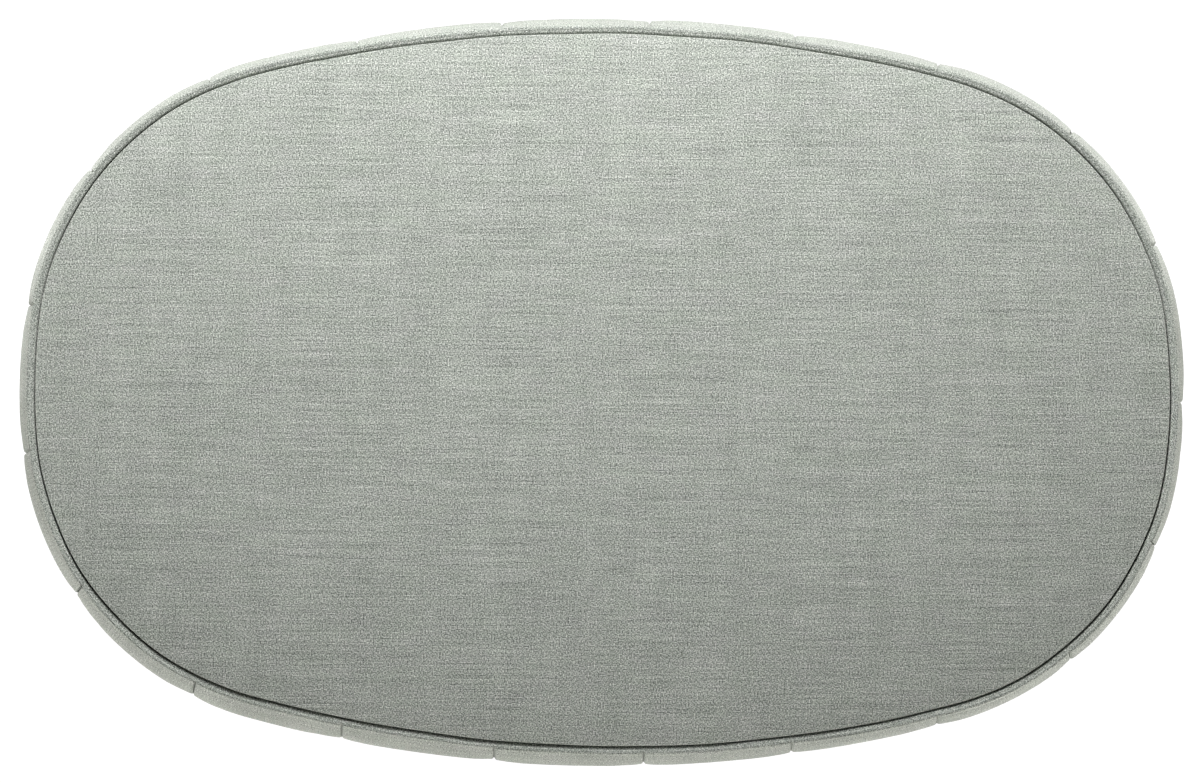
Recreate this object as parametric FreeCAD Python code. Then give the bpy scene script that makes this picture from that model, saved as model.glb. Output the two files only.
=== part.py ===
# An oval upholstered footstool, in millimetres.
#
# X runs along the length, Y across it and Z up. The origin is on the floor, under the middle.
# The plan is an oval of eight tangent arcs, so every layer of the build is an exact offset of it.
# A place on the outline is its distance along the outline, counted anticlockwise from the +X end.
# A place in the wall is its inset: how far it lies inside the outline, square to it.
import FreeCAD, Part

import math
import os
from FreeCAD import Vector

# Plan of the outside of the cover: its ends and sides bow out past four corner circles
LENGTH = 1000.0
WIDTH = 642.0
CORNER_FROM_AXIS = 26.5
END_BOW = 1.72
SIDE_BOW = 30.5

# Height of the middle of the top
HEIGHT = 400.0

# Cover: the cloth, its seams and the padded side panels, which rise a lip above the piping's middle
COVER_T = 1.0
SIDE_PANELS = 21
SIDE_PANEL_T = 6.0
SEAM_WIDTH = 9.0
SEAM_DEPTH = 3.0
SEAM_LIP_RADIUS = 8.0
SIDE_LIP = 1.3
TOP_TUCK_INSET = 8.8
TOP_TUCK_HEIGHT = 40.0
BOTTOM_TUCK_INSET = 10.0
BOTTOM_TUCK_HEIGHT = 40.0

# Top panel: a flat middle, a slow crown round it and a tight roll down to the seam
CREASE_INSET = 15.5
FLAT_TOP_INSET = 180.0
CROWN_RADIUS = 1600.0
ROLL_RADIUS = 5.0

# Piping in the top seam
WELT_RADIUS = 2.6

# Padding
SIDE_FOAM_T = 25.0
TOP_FOAM_T = 54.0
FOAM_GAP = 0.3

# Springing under the top foam
PLATFORM_T = 1.0
PLATFORM_SETBACK = 6.0
STRAPS = 6
STRAP_WIDTH = 80.0
STRAP_SPACING = 40.0
STRAP_T = 2.0
STRAP_SETBACK = 18.0
STRAP_STAPLES = 4
STRAP_STAPLE_FROM_END = 12.0

# Wooden frame
BOARD_T = 3.0
PLY_T = 18.0
RING_WIDTH = 70.0
END_POST_PLACE = 150.0
SIDE_POST_PLACE = 430.0
POST_WIDTH = 45.0
POST_DEPTH = 32.0
TENON_LENGTH = 12.0
TENON_WIDTH = 25.0
TENON_DEPTH = 16.0
JOINT_GAP = 0.1
STRETCHER_HEIGHT = 50.0
STRETCHER_T = 28.0
STRETCHER_DROP = 40.0
STRETCHER_SHOULDER = 6.0

# Screws through the rings into the posts
SCREW_RADIUS = 2.5
SCREW_HEAD_RADIUS = 4.8
SCREW_HEAD_T = 2.8
SCREW_LENGTH = 55.0
SCREW_GAP = 0.05

# Feet and what fastens them
FOOT_PLACE = 290.0
FOOT_STAPLE_GAP = 4.0
FOOT_HEIGHT = 53.0
FOOT_TOP_RADIUS = 25.0
FOOT_BOTTOM_RADIUS = 17.0
FOOT_COLLAR = 7.0
FOOT_CHAMFER = 1.5
PAD_RADIUS = 14.0
PAD_T = 4.0
BLOCK_LENGTH = 90.0
BLOCK_WIDTH = 56.0
BOLT_RADIUS = 4.0
BOLT_IN_FOOT = 32.0
BOLT_GAP = 0.5
BOLT_CHAMFER = 0.8
THREAD_GAP = 0.05
TEE_FLANGE_RADIUS = 11.0
TEE_FLANGE_T = 1.5
TEE_BARREL_RADIUS = 5.2
TEE_BARREL_LENGTH = 10.0

# Dust cover, the hem under it and the staples that hold both
DUST_T = 1.0
DUST_PAST_STAPLES = 5.0
HEM_PAST_STAPLES = 17.0
STAPLES_PER_PANEL = 2
STAPLE_WIDTH = 10.0
STAPLE_WIRE = 1.2
STAPLE_LEG = 8.0

# Corner circles, and the larger arcs that are tangent to them at the ends and the sides
CORNER_RADIUS = WIDTH / 2 - CORNER_FROM_AXIS - SIDE_BOW
CORNER = Vector(LENGTH / 2 - END_BOW - CORNER_RADIUS, CORNER_FROM_AXIS, 0)
END_RADIUS = CORNER_RADIUS + END_BOW / 2 + CORNER.y ** 2 / (2 * END_BOW)
SIDE_RADIUS = CORNER_RADIUS + SIDE_BOW / 2 + CORNER.x ** 2 / (2 * SIDE_BOW)

# Heights, worked out from the floor up and from the top down
Z = Vector(0, 0, 1)
FOOT_TOP_Z = PAD_T + FOOT_HEIGHT
HEM_Z = FOOT_TOP_Z + DUST_T
BASE_Z = HEM_Z + COVER_T
BLOCK_Z = BASE_Z + PLY_T
BLOCK_TOP_Z = BLOCK_Z + PLY_T
ROLL_INSET = CREASE_INSET + ROLL_RADIUS
CREASE_Z = (HEIGHT - CROWN_RADIUS
            + math.sqrt((CROWN_RADIUS - ROLL_RADIUS) ** 2 - (FLAT_TOP_INSET - ROLL_INSET) ** 2))
SEAM_Z = CREASE_Z - WELT_RADIUS
SIDE_TOP_Z = CREASE_Z + SIDE_LIP
SIDE_FOAM_TOP_Z = SEAM_Z - COVER_T
WADDING_Z = SEAM_Z + 2 * COVER_T
PLATFORM_Z = WADDING_Z - TOP_FOAM_T - PLATFORM_T
STRAP_Z = PLATFORM_Z - STRAP_T
TOP_RING_Z = STRAP_Z - PLY_T

# Insets of the layers of the wall, from the outside in
WELT_INSET = CREASE_INSET - WELT_RADIUS
FOAM_INSET = SIDE_PANEL_T
BOARD_INSET = FOAM_INSET + SIDE_FOAM_T
FRAME_INSET = BOARD_INSET + BOARD_T
RING_INNER_INSET = FRAME_INSET + RING_WIDTH
POST_INSET = FRAME_INSET + POST_DEPTH / 2
PLATFORM_INSET = FRAME_INSET + PLATFORM_SETBACK
STRAP_INSET = FRAME_INSET + STRAP_SETBACK
TOP_FOAM_INSET = BOARD_INSET + FOAM_GAP
ALLOWANCE_INSET = BOARD_INSET - FOAM_GAP

# The staples lie midway between the frame's outer face and the screw heads, the feet inside them
STAPLE_INSET = (FRAME_INSET + POST_INSET - SCREW_HEAD_RADIUS) / 2
DUST_INSET = STAPLE_INSET - DUST_PAST_STAPLES
HEM_INSET = STAPLE_INSET + HEM_PAST_STAPLES
FOOT_INSET = STAPLE_INSET + FOOT_STAPLE_GAP + FOOT_TOP_RADIUS


# The outline

def outline_arcs():
    """The outline as (centre, radius, start angle, end angle), anticlockwise from the +X end."""
    end = Vector(LENGTH / 2 - END_RADIUS, 0, 0)
    side = Vector(0, WIDTH / 2 - SIDE_RADIUS, 0)
    end_angle = math.atan2(CORNER.y - end.y, CORNER.x - end.x)
    side_angle = math.atan2(CORNER.y - side.y, CORNER.x - side.x)
    quarter = [(end, END_RADIUS, 0.0, end_angle),
               (CORNER, CORNER_RADIUS, end_angle, side_angle),
               (side, SIDE_RADIUS, side_angle, math.pi / 2)]
    half = quarter + [(Vector(-c.x, c.y, 0), r, math.pi - b, math.pi - a)
                      for c, r, a, b in reversed(quarter)]
    return half + [(Vector(-c.x, -c.y, 0), r, a + math.pi, b + math.pi) for c, r, a, b in half]


ARCS = outline_arcs()
PERIMETER = sum(r * (b - a) for c, r, a, b in ARCS)
QUARTER = PERIMETER / 4
PANEL_WIDTH = PERIMETER / SIDE_PANELS


def arcs_between(start, end):
    """The stretches of outline arcs from one place to a later one. A place may pass the start."""
    found = []
    for turn in (-PERIMETER, 0.0, PERIMETER):
        place = turn
        for centre, radius, a, b in ARCS:
            length = radius * (b - a)
            low = max(start, place)
            high = min(end, place + length)
            if high - low > 1e-6:
                found.append((centre, radius, a + (low - place) / radius, a + (high - place) / radius))
            place += length
    return found


def frame_at(place, inset=0.0):
    """The point at a place and inset, and the angle of the outward direction there."""
    centre, radius, angle, _ = arcs_between(place, place + 1.0)[0]
    outward = Vector(math.cos(angle), math.sin(angle), 0)
    return centre + outward * (radius - inset), angle


def oval_face(inset):
    """The flat oval at an inset, at height 0."""
    edges = []
    for centre, radius, a, b in ARCS:
        points = [centre + Vector(math.cos(t), math.sin(t), 0) * (radius - inset)
                  for t in (a, (a + b) / 2, b)]
        edges.append(Part.Arc(*points).toShape())
    return Part.Face(Part.Wire(edges))


def prism(inset, low, high):
    """A solid oval plate from one height to another."""
    face = oval_face(inset)
    face.translate(Z * low)
    return face.extrude(Z * (high - low))


def inset_at_x(x, inset):
    """How far from the X axis an inset outline lies, at a distance along X."""
    low, high = 0.0, QUARTER
    while high - low > 1e-4:
        middle = (low + high) / 2
        if frame_at(middle, inset)[0].x > x:
            low = middle
        else:
            high = middle
    return frame_at(low, inset)[0].y


# Wall sections, drawn as (inset, height), and the solids swept from them

def on_circle(centre, radius, degrees):
    """A point of a section's circle. 0 degrees is inwards and 90 is up."""
    angle = math.radians(degrees)
    return (centre[0] + radius * math.cos(angle), centre[1] + radius * math.sin(angle))


def section(*edges):
    """A closed section: each edge is 2 points for a line, or 3 for an arc through the middle one."""
    made = []
    for points in edges:
        corners = [Vector(-inset, 0, height) for inset, height in points]
        made.append(Part.LineSegment(*corners) if len(corners) == 2 else Part.Arc(*corners))
    return Part.Face(Part.Wire([edge.toShape() for edge in made]))


def outlined(*corners):
    """A section with straight edges only."""
    return section(*[(a, b) for a, b in zip(corners, corners[1:] + corners[:1])])


def sweep(face, arcs):
    """A section carried round stretches of the outline, as one solid."""
    solids = []
    for centre, radius, a, b in arcs:
        placed = face.copy()
        placed.translate(Vector(radius, 0, 0))
        placed.rotate(Vector(), Z, math.degrees(a))
        placed.translate(centre)
        solids.append(placed.revolve(centre, Z, math.degrees(b - a)))
    solid = solids[0].multiFuse(solids[1:]) if len(solids) > 1 else solids[0]
    return Part.Solid(solid.Solids[0])


def ring(face):
    """A section carried all the way round."""
    return sweep(face, ARCS)


# Rolled top edge, tucked side edges

def rolled_top(cut_in):
    """The top's outer skin from the middle to the crease, cut_in mm below the cover's surface."""
    crown = (FLAT_TOP_INSET, HEIGHT - CROWN_RADIUS)
    roll = (ROLL_INSET, CREASE_Z)
    meet = math.degrees(math.atan2(roll[1] - crown[1], roll[0] - crown[0]))
    big = CROWN_RADIUS - cut_in
    small = ROLL_RADIUS - cut_in
    slope = (on_circle(crown, big, 90), on_circle(crown, big, (90 + meet) / 2),
             on_circle(crown, big, meet))
    shoulder = (slope[-1], on_circle(roll, small, (meet + 180) / 2), on_circle(roll, small, 180))
    return slope, shoulder


def tuck_circle(inset, height, level):
    """The centre and radius of the arc by which a side wall curves inwards, at the cover's face."""
    radius = (inset ** 2 + height ** 2) / (2 * inset)
    return (radius, level), radius


LOW_TUCK = tuck_circle(BOTTOM_TUCK_INSET, BOTTOM_TUCK_HEIGHT, HEM_Z + BOTTOM_TUCK_HEIGHT)
HIGH_TUCK = tuck_circle(TOP_TUCK_INSET, TOP_TUCK_HEIGHT, SIDE_TOP_Z - TOP_TUCK_HEIGHT)


def wall_tucks(layer, low_z, high_z):
    """The bottom and top arcs of a layer of the side wall, each from the wall to its end."""
    arcs = []
    for (centre, radius), stop_z, up in ((LOW_TUCK, low_z, -1), (HIGH_TUCK, high_z, 1)):
        turn = math.degrees(math.asin(abs(stop_z - centre[1]) / (radius - layer)))
        arcs.append([on_circle(centre, radius - layer, 180 - up * turn * share)
                     for share in (0, 0.5, 1)])
    return arcs


# Feet

def turned(*corners):
    """A round piece from (radius, height) corners, on the Z axis."""
    points = [Vector(r, 0, z) for r, z in corners]
    face = Part.Face(Part.makePolygon(points + points[:1]))
    return face.revolve(Vector(), Z, 360)


def foot_spots():
    """Where the four feet stand, with the outward angle at each, and their names."""
    names = ("rear_right", "rear_left", "front_left", "front_right")
    places = (FOOT_PLACE, 2 * QUARTER - FOOT_PLACE, 2 * QUARTER + FOOT_PLACE, -FOOT_PLACE)
    return [(name, *frame_at(place, FOOT_INSET)) for name, place in zip(names, places)]


def at_spot(shape, point, angle=0.0):
    """A copy of a shape turned about Z and moved to a point."""
    placed = shape.copy()
    placed.rotate(Vector(), Z, math.degrees(angle))
    placed.translate(point)
    return placed


def foot():
    """A turned tapering foot with a collar, bored from above for its bolt."""
    body = turned((0, PAD_T), (FOOT_BOTTOM_RADIUS - FOOT_CHAMFER, PAD_T),
                  (FOOT_BOTTOM_RADIUS, PAD_T + FOOT_CHAMFER),
                  (FOOT_TOP_RADIUS - FOOT_CHAMFER, FOOT_TOP_Z - FOOT_COLLAR),
                  (FOOT_TOP_RADIUS, FOOT_TOP_Z - FOOT_COLLAR + FOOT_CHAMFER),
                  (FOOT_TOP_RADIUS, FOOT_TOP_Z), (0, FOOT_TOP_Z))
    depth = BOLT_IN_FOOT + BOLT_GAP
    bore = Part.makeCylinder(BOLT_RADIUS + THREAD_GAP, depth, Vector(0, 0, FOOT_TOP_Z - depth))
    return body.cut(bore)


def foot_bolt():
    """A headless bolt: coarse thread in the foot, machine thread in the tee nut."""
    low = FOOT_TOP_Z - BOLT_IN_FOOT
    high = BLOCK_TOP_Z + TEE_FLANGE_T
    return turned((0, low), (BOLT_RADIUS - BOLT_CHAMFER, low), (BOLT_RADIUS, low + BOLT_CHAMFER),
                  (BOLT_RADIUS, high - BOLT_CHAMFER), (BOLT_RADIUS - BOLT_CHAMFER, high), (0, high))


def tee_nut():
    """A flanged nut pressed into the foot block from above."""
    inner = BOLT_RADIUS + THREAD_GAP
    low = BLOCK_TOP_Z - TEE_BARREL_LENGTH
    high = BLOCK_TOP_Z + TEE_FLANGE_T
    return turned((inner, low), (TEE_BARREL_RADIUS, low), (TEE_BARREL_RADIUS, BLOCK_TOP_Z),
                  (TEE_FLANGE_RADIUS, BLOCK_TOP_Z), (TEE_FLANGE_RADIUS, high), (inner, high))


def bolt_hole():
    """What the bolt's clearance hole takes out of the base ring, the block and the dust cover."""
    low = FOOT_TOP_Z - BOLT_GAP
    return Part.makeCylinder(BOLT_RADIUS + BOLT_GAP, BLOCK_TOP_Z - low + BOLT_GAP, Vector(0, 0, low))


def foot_block():
    """A plywood block glued on the base ring, to give the tee nut depth."""
    block = Part.makeBox(BLOCK_WIDTH, BLOCK_LENGTH, PLY_T,
                         Vector(-BLOCK_WIDTH / 2, -BLOCK_LENGTH / 2, BLOCK_Z))
    seat = Part.makeCylinder(TEE_BARREL_RADIUS, TEE_BARREL_LENGTH,
                             Vector(0, 0, BLOCK_TOP_Z - TEE_BARREL_LENGTH))
    return block.cut(bolt_hole()).cut(seat)


# Posts, screws and staples

def post_spots():
    """Where the posts stand along the outline: two in each quarter and one in each long side."""
    half = [END_POST_PLACE, SIDE_POST_PLACE, QUARTER,
            2 * QUARTER - SIDE_POST_PLACE, 2 * QUARTER - END_POST_PLACE]
    return half + [2 * QUARTER + place for place in half]


def tenon(length, play):
    """A post's end tenon, or its mortise when there is play, centred on the Z axis."""
    deep = TENON_DEPTH + 2 * play
    wide = TENON_WIDTH + 2 * play
    return Part.makeBox(deep, wide, length, Vector(-deep / 2, -wide / 2, 0))


def standing_post(place):
    """A sawn post with a tenon at each end, its outer face planed to the side board."""
    point, angle = frame_at(place, POST_INSET)
    low, high = BLOCK_Z, TOP_RING_Z
    body = Part.makeBox(POST_DEPTH, POST_WIDTH, high - low,
                        Vector(-POST_DEPTH / 2, -POST_WIDTH / 2, low))
    lower, upper = tenon(TENON_LENGTH, 0), tenon(TENON_LENGTH, 0)
    lower.translate(Z * (low - TENON_LENGTH))
    upper.translate(Z * high)
    post = at_spot(body.fuse([lower, upper]), point, angle)
    post = post.common(prism(FRAME_INSET, low - TENON_LENGTH, high + TENON_LENGTH))
    return post.cut(screws_at(place, SCREW_GAP) + [stretcher(JOINT_GAP)])


def mortises():
    """The holes for the posts' tenons in the base ring and in the top ring."""
    hole = tenon(TENON_LENGTH + JOINT_GAP, JOINT_GAP)
    lower, upper = [], []
    for place in post_spots():
        point, angle = frame_at(place, POST_INSET)
        lower.append(at_spot(hole, point + Z * (BLOCK_Z - TENON_LENGTH - JOINT_GAP), angle))
        upper.append(at_spot(hole, point + Z * TOP_RING_Z, angle))
    return lower, upper


def wood_screw(play):
    """A countersunk screw on the Z axis, point up, with its head's face at height 0."""
    shank = SCREW_RADIUS + play
    head = SCREW_HEAD_RADIUS + play
    return turned((0, 0), (head, 0), (shank, SCREW_HEAD_T), (shank, SCREW_LENGTH - SCREW_RADIUS),
                  (0, SCREW_LENGTH + play))


def screws_at(place, play=0.0):
    """The two screws of a post: one up through the base ring, one down through the top ring."""
    point, _ = frame_at(place, POST_INSET)
    lower = at_spot(wood_screw(play), point + Z * BASE_Z)
    upper = wood_screw(play)
    upper.rotate(Vector(), Vector(1, 0, 0), 180)
    upper.translate(point + Z * STRAP_Z)
    return [lower, upper]


def staple(point, angle, down):
    """A staple whose crown lies on a surface at the point, with its legs driven down or up."""
    way = -1 if down else 1
    half = STAPLE_WIDTH / 2
    crown = Part.makeBox(STAPLE_WIRE, STAPLE_WIDTH, STAPLE_WIRE,
                         Vector(-STAPLE_WIRE / 2, -half, 0 if down else -STAPLE_WIRE))
    legs = [Part.makeBox(STAPLE_WIRE, STAPLE_WIRE, STAPLE_LEG,
                         Vector(-STAPLE_WIRE / 2, side, min(0, way * STAPLE_LEG)))
            for side in (-half, half - STAPLE_WIRE)]
    return at_spot(crown.fuse(legs).removeSplitter(), point, angle)


def underside_staples():
    """Staples through the dust cover and the hem into the base ring, by panel."""
    by_panel = []
    for panel in range(SIDE_PANELS):
        row = []
        for count in range(STAPLES_PER_PANEL):
            place = (panel + (count + 0.5) / STAPLES_PER_PANEL) * PANEL_WIDTH
            point, angle = frame_at(place, STAPLE_INSET)
            row.append(staple(point + Z * FOOT_TOP_Z, angle, down=False))
        by_panel.append(row)
    return by_panel


# Springing

def strap_places():
    """The X of each strap's middle line."""
    pitch = STRAP_WIDTH + STRAP_SPACING
    return [(count - (STRAPS - 1) / 2) * pitch for count in range(STRAPS)]


def strap_end(x):
    """How far from the X axis a strap reaches: its outer corner lies on the strap inset."""
    return inset_at_x(abs(x) + STRAP_WIDTH / 2, STRAP_INSET)


def strap_staples(x):
    """The staples of one strap, at both ends."""
    found = []
    pitch = STRAP_WIDTH / STRAP_STAPLES
    for side in (-1, 1):
        y = side * (strap_end(x) - STRAP_STAPLE_FROM_END)
        for count in range(STRAP_STAPLES):
            along = x + (count - (STRAP_STAPLES - 1) / 2) * pitch
            found.append(staple(Vector(along, y, PLATFORM_Z), math.pi / 2, down=True))
    return found


# The solids of each node

def seam_grooves():
    """What a seam draws in from the side wall and its tucks, where the outward direction is +X."""
    half = SEAM_WIDTH / 2
    chord = math.hypot(half, SEAM_DEPTH)
    bulge = SEAM_LIP_RADIUS - math.sqrt(SEAM_LIP_RADIUS ** 2 - chord ** 2 / 4)
    middle = (-SEAM_DEPTH / 2 + half * bulge / chord, half / 2 - SEAM_DEPTH * bulge / chord)
    bottom, top_z = LOW_TUCK[0][1], HIGH_TUCK[0][1]
    lips = [Part.Arc(Vector(-SEAM_DEPTH, 0, bottom), Vector(middle[0], side * middle[1], bottom),
                     Vector(0, side * half, bottom)) for side in (1, -1)]
    corners = [Vector(x, side * half, bottom) for x, side in ((0, 1), (half, 1), (half, -1), (0, -1))]
    edges = [lip.toShape() for lip in lips] + [Part.makeLine(a, b) for a, b in zip(corners, corners[1:])]
    face = Part.Face(Part.Wire(Part.sortEdges(edges)[0]))
    grooves = [face.extrude(Z * (top_z - bottom))]
    ends = ((LOW_TUCK, HEM_Z - SEAM_DEPTH, -1), (HIGH_TUCK, SIDE_TOP_Z + SEAM_DEPTH, 1))
    for ((radius, level), _), stop_z, up in ends:
        turn = math.degrees(math.asin(abs(stop_z - level) / radius))
        start = face.translated(Z * (level - bottom))
        grooves.append(start.revolve(Vector(-radius, 0, level), Vector(0, -up, 0), turn))
    return grooves


def side_panels(staples):
    """The padded side panels, each drawn in at its two seams and stapled under the frame."""
    low, high = wall_tucks(0, HEM_Z, SIDE_TOP_Z)
    low_in, high_in = wall_tucks(SIDE_PANEL_T, BASE_Z, SIDE_FOAM_TOP_Z)
    wall = (low[0], high[0])
    edge = (WELT_INSET - WELT_RADIUS, SIDE_TOP_Z)
    foot_of_edge = (WELT_INSET - WELT_RADIUS, SEAM_Z)
    tail = (ALLOWANCE_INSET, SEAM_Z)
    tail_in = (ALLOWANCE_INSET, SIDE_FOAM_TOP_Z)
    face = section(
        ((HEM_INSET, HEM_Z), low[-1]), tuple(reversed(low)), wall, tuple(high), (high[-1], edge),
        (edge, foot_of_edge), (foot_of_edge, tail), (tail, tail_in), (tail_in, high_in[-1]),
        tuple(reversed(high_in)),
        (high_in[0], low_in[0]), tuple(low_in),
        (low_in[-1], (HEM_INSET, BASE_Z)), ((HEM_INSET, BASE_Z), (HEM_INSET, HEM_Z)))
    grooves = [[at_spot(part, *frame_at(count * PANEL_WIDTH)) for part in seam_grooves()]
               for count in range(SIDE_PANELS)]
    panels = []
    for count in range(SIDE_PANELS):
        solid = sweep(face, arcs_between(count * PANEL_WIDTH, (count + 1) * PANEL_WIDTH))
        seams = grooves[count] + grooves[(count + 1) % SIDE_PANELS]
        panels.append(solid.cut(seams + staples[count]))
    return panels


def top_cover():
    """The cloth of the top: flat, crowned, rolled over and turned in at the seam."""
    slope, shoulder = rolled_top(0)
    slope_in, shoulder_in = rolled_top(COVER_T)
    low_z = SEAM_Z + COVER_T
    corner = (CREASE_INSET, low_z)
    tail = (ALLOWANCE_INSET, low_z)
    tail_in = (ALLOWANCE_INSET, WADDING_Z)
    corner_in = (CREASE_INSET + COVER_T, WADDING_Z)
    edge = ring(section(
        slope, shoulder, (shoulder[-1], corner), (corner, tail), (tail, tail_in),
        (tail_in, corner_in), (corner_in, shoulder_in[-1]),
        tuple(reversed(shoulder_in)), tuple(reversed(slope_in)), (slope_in[0], slope[0])))
    return edge.fuse(prism(FLAT_TOP_INSET, HEIGHT - COVER_T, HEIGHT))


def top_wadding():
    """The fibre layer between the top foam and the top cover, which gives the crown."""
    slope, shoulder = rolled_top(COVER_T)
    low = (CREASE_INSET + COVER_T, WADDING_Z)
    edge = ring(section(slope, shoulder, (shoulder[-1], low), (low, (FLAT_TOP_INSET, WADDING_Z)),
                        ((FLAT_TOP_INSET, WADDING_Z), slope[0])))
    return edge.fuse(prism(FLAT_TOP_INSET, WADDING_Z, HEIGHT - COVER_T))


def round_section(radius):
    """A circle at the middle of the piping."""
    centre = (WELT_INSET, CREASE_Z)
    points = [on_circle(centre, radius, degrees) for degrees in (0, 90, 180, 270)]
    return section((points[0], points[1], points[2]), (points[2], points[3], points[0]))


def welt_cover():
    """The piping's cloth: a tube round the cord, with a tail sewn into the seam."""
    tail = outlined((WELT_INSET, SEAM_Z), (ALLOWANCE_INSET, SEAM_Z),
                    (ALLOWANCE_INSET, SEAM_Z + COVER_T), (WELT_INSET, SEAM_Z + COVER_T))
    cloth = round_section(WELT_RADIUS).fuse(tail).cut(round_section(WELT_RADIUS - COVER_T))
    return ring(cloth.removeSplitter().Faces[0])


def side_foam():
    """The foam wrapped round the frame and the top foam, rounded where the cover tucks in."""
    low, high = wall_tucks(FOAM_INSET, BASE_Z, SIDE_FOAM_TOP_Z)
    return ring(section(
        ((BOARD_INSET, BASE_Z), low[-1]), tuple(reversed(low)), (low[0], high[0]), tuple(high),
        (high[-1], (BOARD_INSET, SIDE_FOAM_TOP_Z)),
        ((BOARD_INSET, SIDE_FOAM_TOP_Z), (BOARD_INSET, BASE_Z))))


def plain_ring(outer, inner, low, high):
    """A flat ring or an upright band between two insets."""
    return prism(outer, low, high).cut(prism(inner, low, high))


def stretcher(play=0.0):
    """The rail between the two middle posts, with a tenon at each end; with play, its mortises."""
    high = TOP_RING_Z - STRETCHER_DROP
    reach = WIDTH / 2 - FRAME_INSET - POST_DEPTH
    wide = STRETCHER_T - 2 * STRETCHER_SHOULDER + 2 * play
    tall = STRETCHER_HEIGHT - 2 * STRETCHER_SHOULDER + 2 * play
    tenon_reach = reach + TENON_LENGTH + play
    tenons = Part.makeBox(wide, 2 * tenon_reach, tall,
                          Vector(-wide / 2, -tenon_reach, high - STRETCHER_SHOULDER - tall + play))
    body = Part.makeBox(STRETCHER_T, 2 * reach, STRETCHER_HEIGHT,
                        Vector(-STRETCHER_T / 2, -reach, high - STRETCHER_HEIGHT))
    return tenons if play else tenons.fuse(body)


def save(name, solids):
    """Writes one node, as one solid or as a group of separate solids."""
    shape = solids if isinstance(solids, Part.Shape) else Part.makeCompound(solids)
    if len(shape.Solids) == 1:
        shape = shape.Solids[0]
    shape.exportStep(f"parts/{name}.step")
    print(name, len(shape.Solids), "solids", round(shape.Volume / 1000, 1), "cm3", shape.isValid())


def main():
    os.makedirs("parts", exist_ok=True)
    print("perimeter", round(PERIMETER, 1), "panel width", round(PANEL_WIDTH, 1))

    # Feet, their pads and what bolts them on
    spots = foot_spots()
    for name, point, _ in spots:
        save(f"foot_{name}", at_spot(foot(), point))
    pad = Part.makeCylinder(PAD_RADIUS, PAD_T)
    save("felt_pads", [at_spot(pad, point) for _, point, _ in spots])
    save("foot_bolts", [at_spot(foot_bolt(), point) for _, point, _ in spots])
    save("tee_nuts", [at_spot(tee_nut(), point) for _, point, _ in spots])
    save("foot_blocks", [at_spot(foot_block(), point, angle) for _, point, angle in spots])
    bolt_holes = [at_spot(bolt_hole(), point) for _, point, _ in spots]

    # Frame: two plywood rings, posts, a stretcher and the bent side board
    staples = underside_staples()
    all_staples = [one for row in staples for one in row]
    screws = [screw for place in post_spots() for screw in screws_at(place)]
    screw_holes = [screw for place in post_spots() for screw in screws_at(place, SCREW_GAP)]
    webbing_staples = [one for x in strap_places() for one in strap_staples(x)]
    lower_mortises, upper_mortises = mortises()
    base = plain_ring(FRAME_INSET, RING_INNER_INSET, BASE_Z, BLOCK_Z)
    save("base_ring", base.cut(lower_mortises + bolt_holes + screw_holes + all_staples))
    top = plain_ring(FRAME_INSET, RING_INNER_INSET, TOP_RING_Z, STRAP_Z)
    save("top_ring", top.cut(upper_mortises + screw_holes + webbing_staples))
    for count, place in enumerate(post_spots(), 1):
        save(f"frame_post_{count:02d}", standing_post(place))
    save("centre_stretcher", stretcher())
    save("frame_screws", screws)
    save("side_board", plain_ring(BOARD_INSET, FRAME_INSET, BASE_Z, STRAP_Z))

    # Springing: elastic straps across the top ring, under a platform cloth
    for count, x in enumerate(strap_places(), 1):
        reach = strap_end(x)
        strap = Part.makeBox(STRAP_WIDTH, 2 * reach, STRAP_T, Vector(x - STRAP_WIDTH / 2, -reach, STRAP_Z))
        save(f"webbing_strap_{count}", strap.cut(strap_staples(x)))
    save("webbing_staples", webbing_staples)
    platform = prism(PLATFORM_INSET, PLATFORM_Z, PLATFORM_Z + PLATFORM_T)
    save("platform_cloth", platform.cut(webbing_staples))

    # Padding
    foam = prism(TOP_FOAM_INSET, PLATFORM_Z + PLATFORM_T, WADDING_Z)
    save("top_foam", foam.cut(webbing_staples))
    save("side_foam", side_foam())
    save("top_wadding", top_wadding())

    # Cover
    save("top_cover", top_cover())
    save("welt_cord", ring(round_section(WELT_RADIUS - COVER_T)))
    save("welt_cover", welt_cover())
    for count, panel in enumerate(side_panels(staples), 1):
        save(f"side_panel_{count:02d}", panel)

    # Underside
    dust = prism(DUST_INSET, FOOT_TOP_Z, HEM_Z)
    save("dust_cover", dust.cut(bolt_holes + all_staples))
    save("underside_staples", all_staples)


main()
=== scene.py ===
# %% [markdown]
# # An oval footstool in linen-look cloth, seen from straight above
# The object is a cloth-covered footstool one metre long. A foam-topped wooden
# box carries a taut top panel, a piping runs round its edge, and twenty-one
# narrow padded panels make its sides. Four short turned feet stand under it.
# The solid model that is loaded first fixes every place and size. This lesson
# replaces its soft parts with cloth and padding and gives every part its finish.

# %% Load the frame
import math

import bmesh
import bpy
import numpy as np
from mathutils import Matrix, Vector


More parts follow.
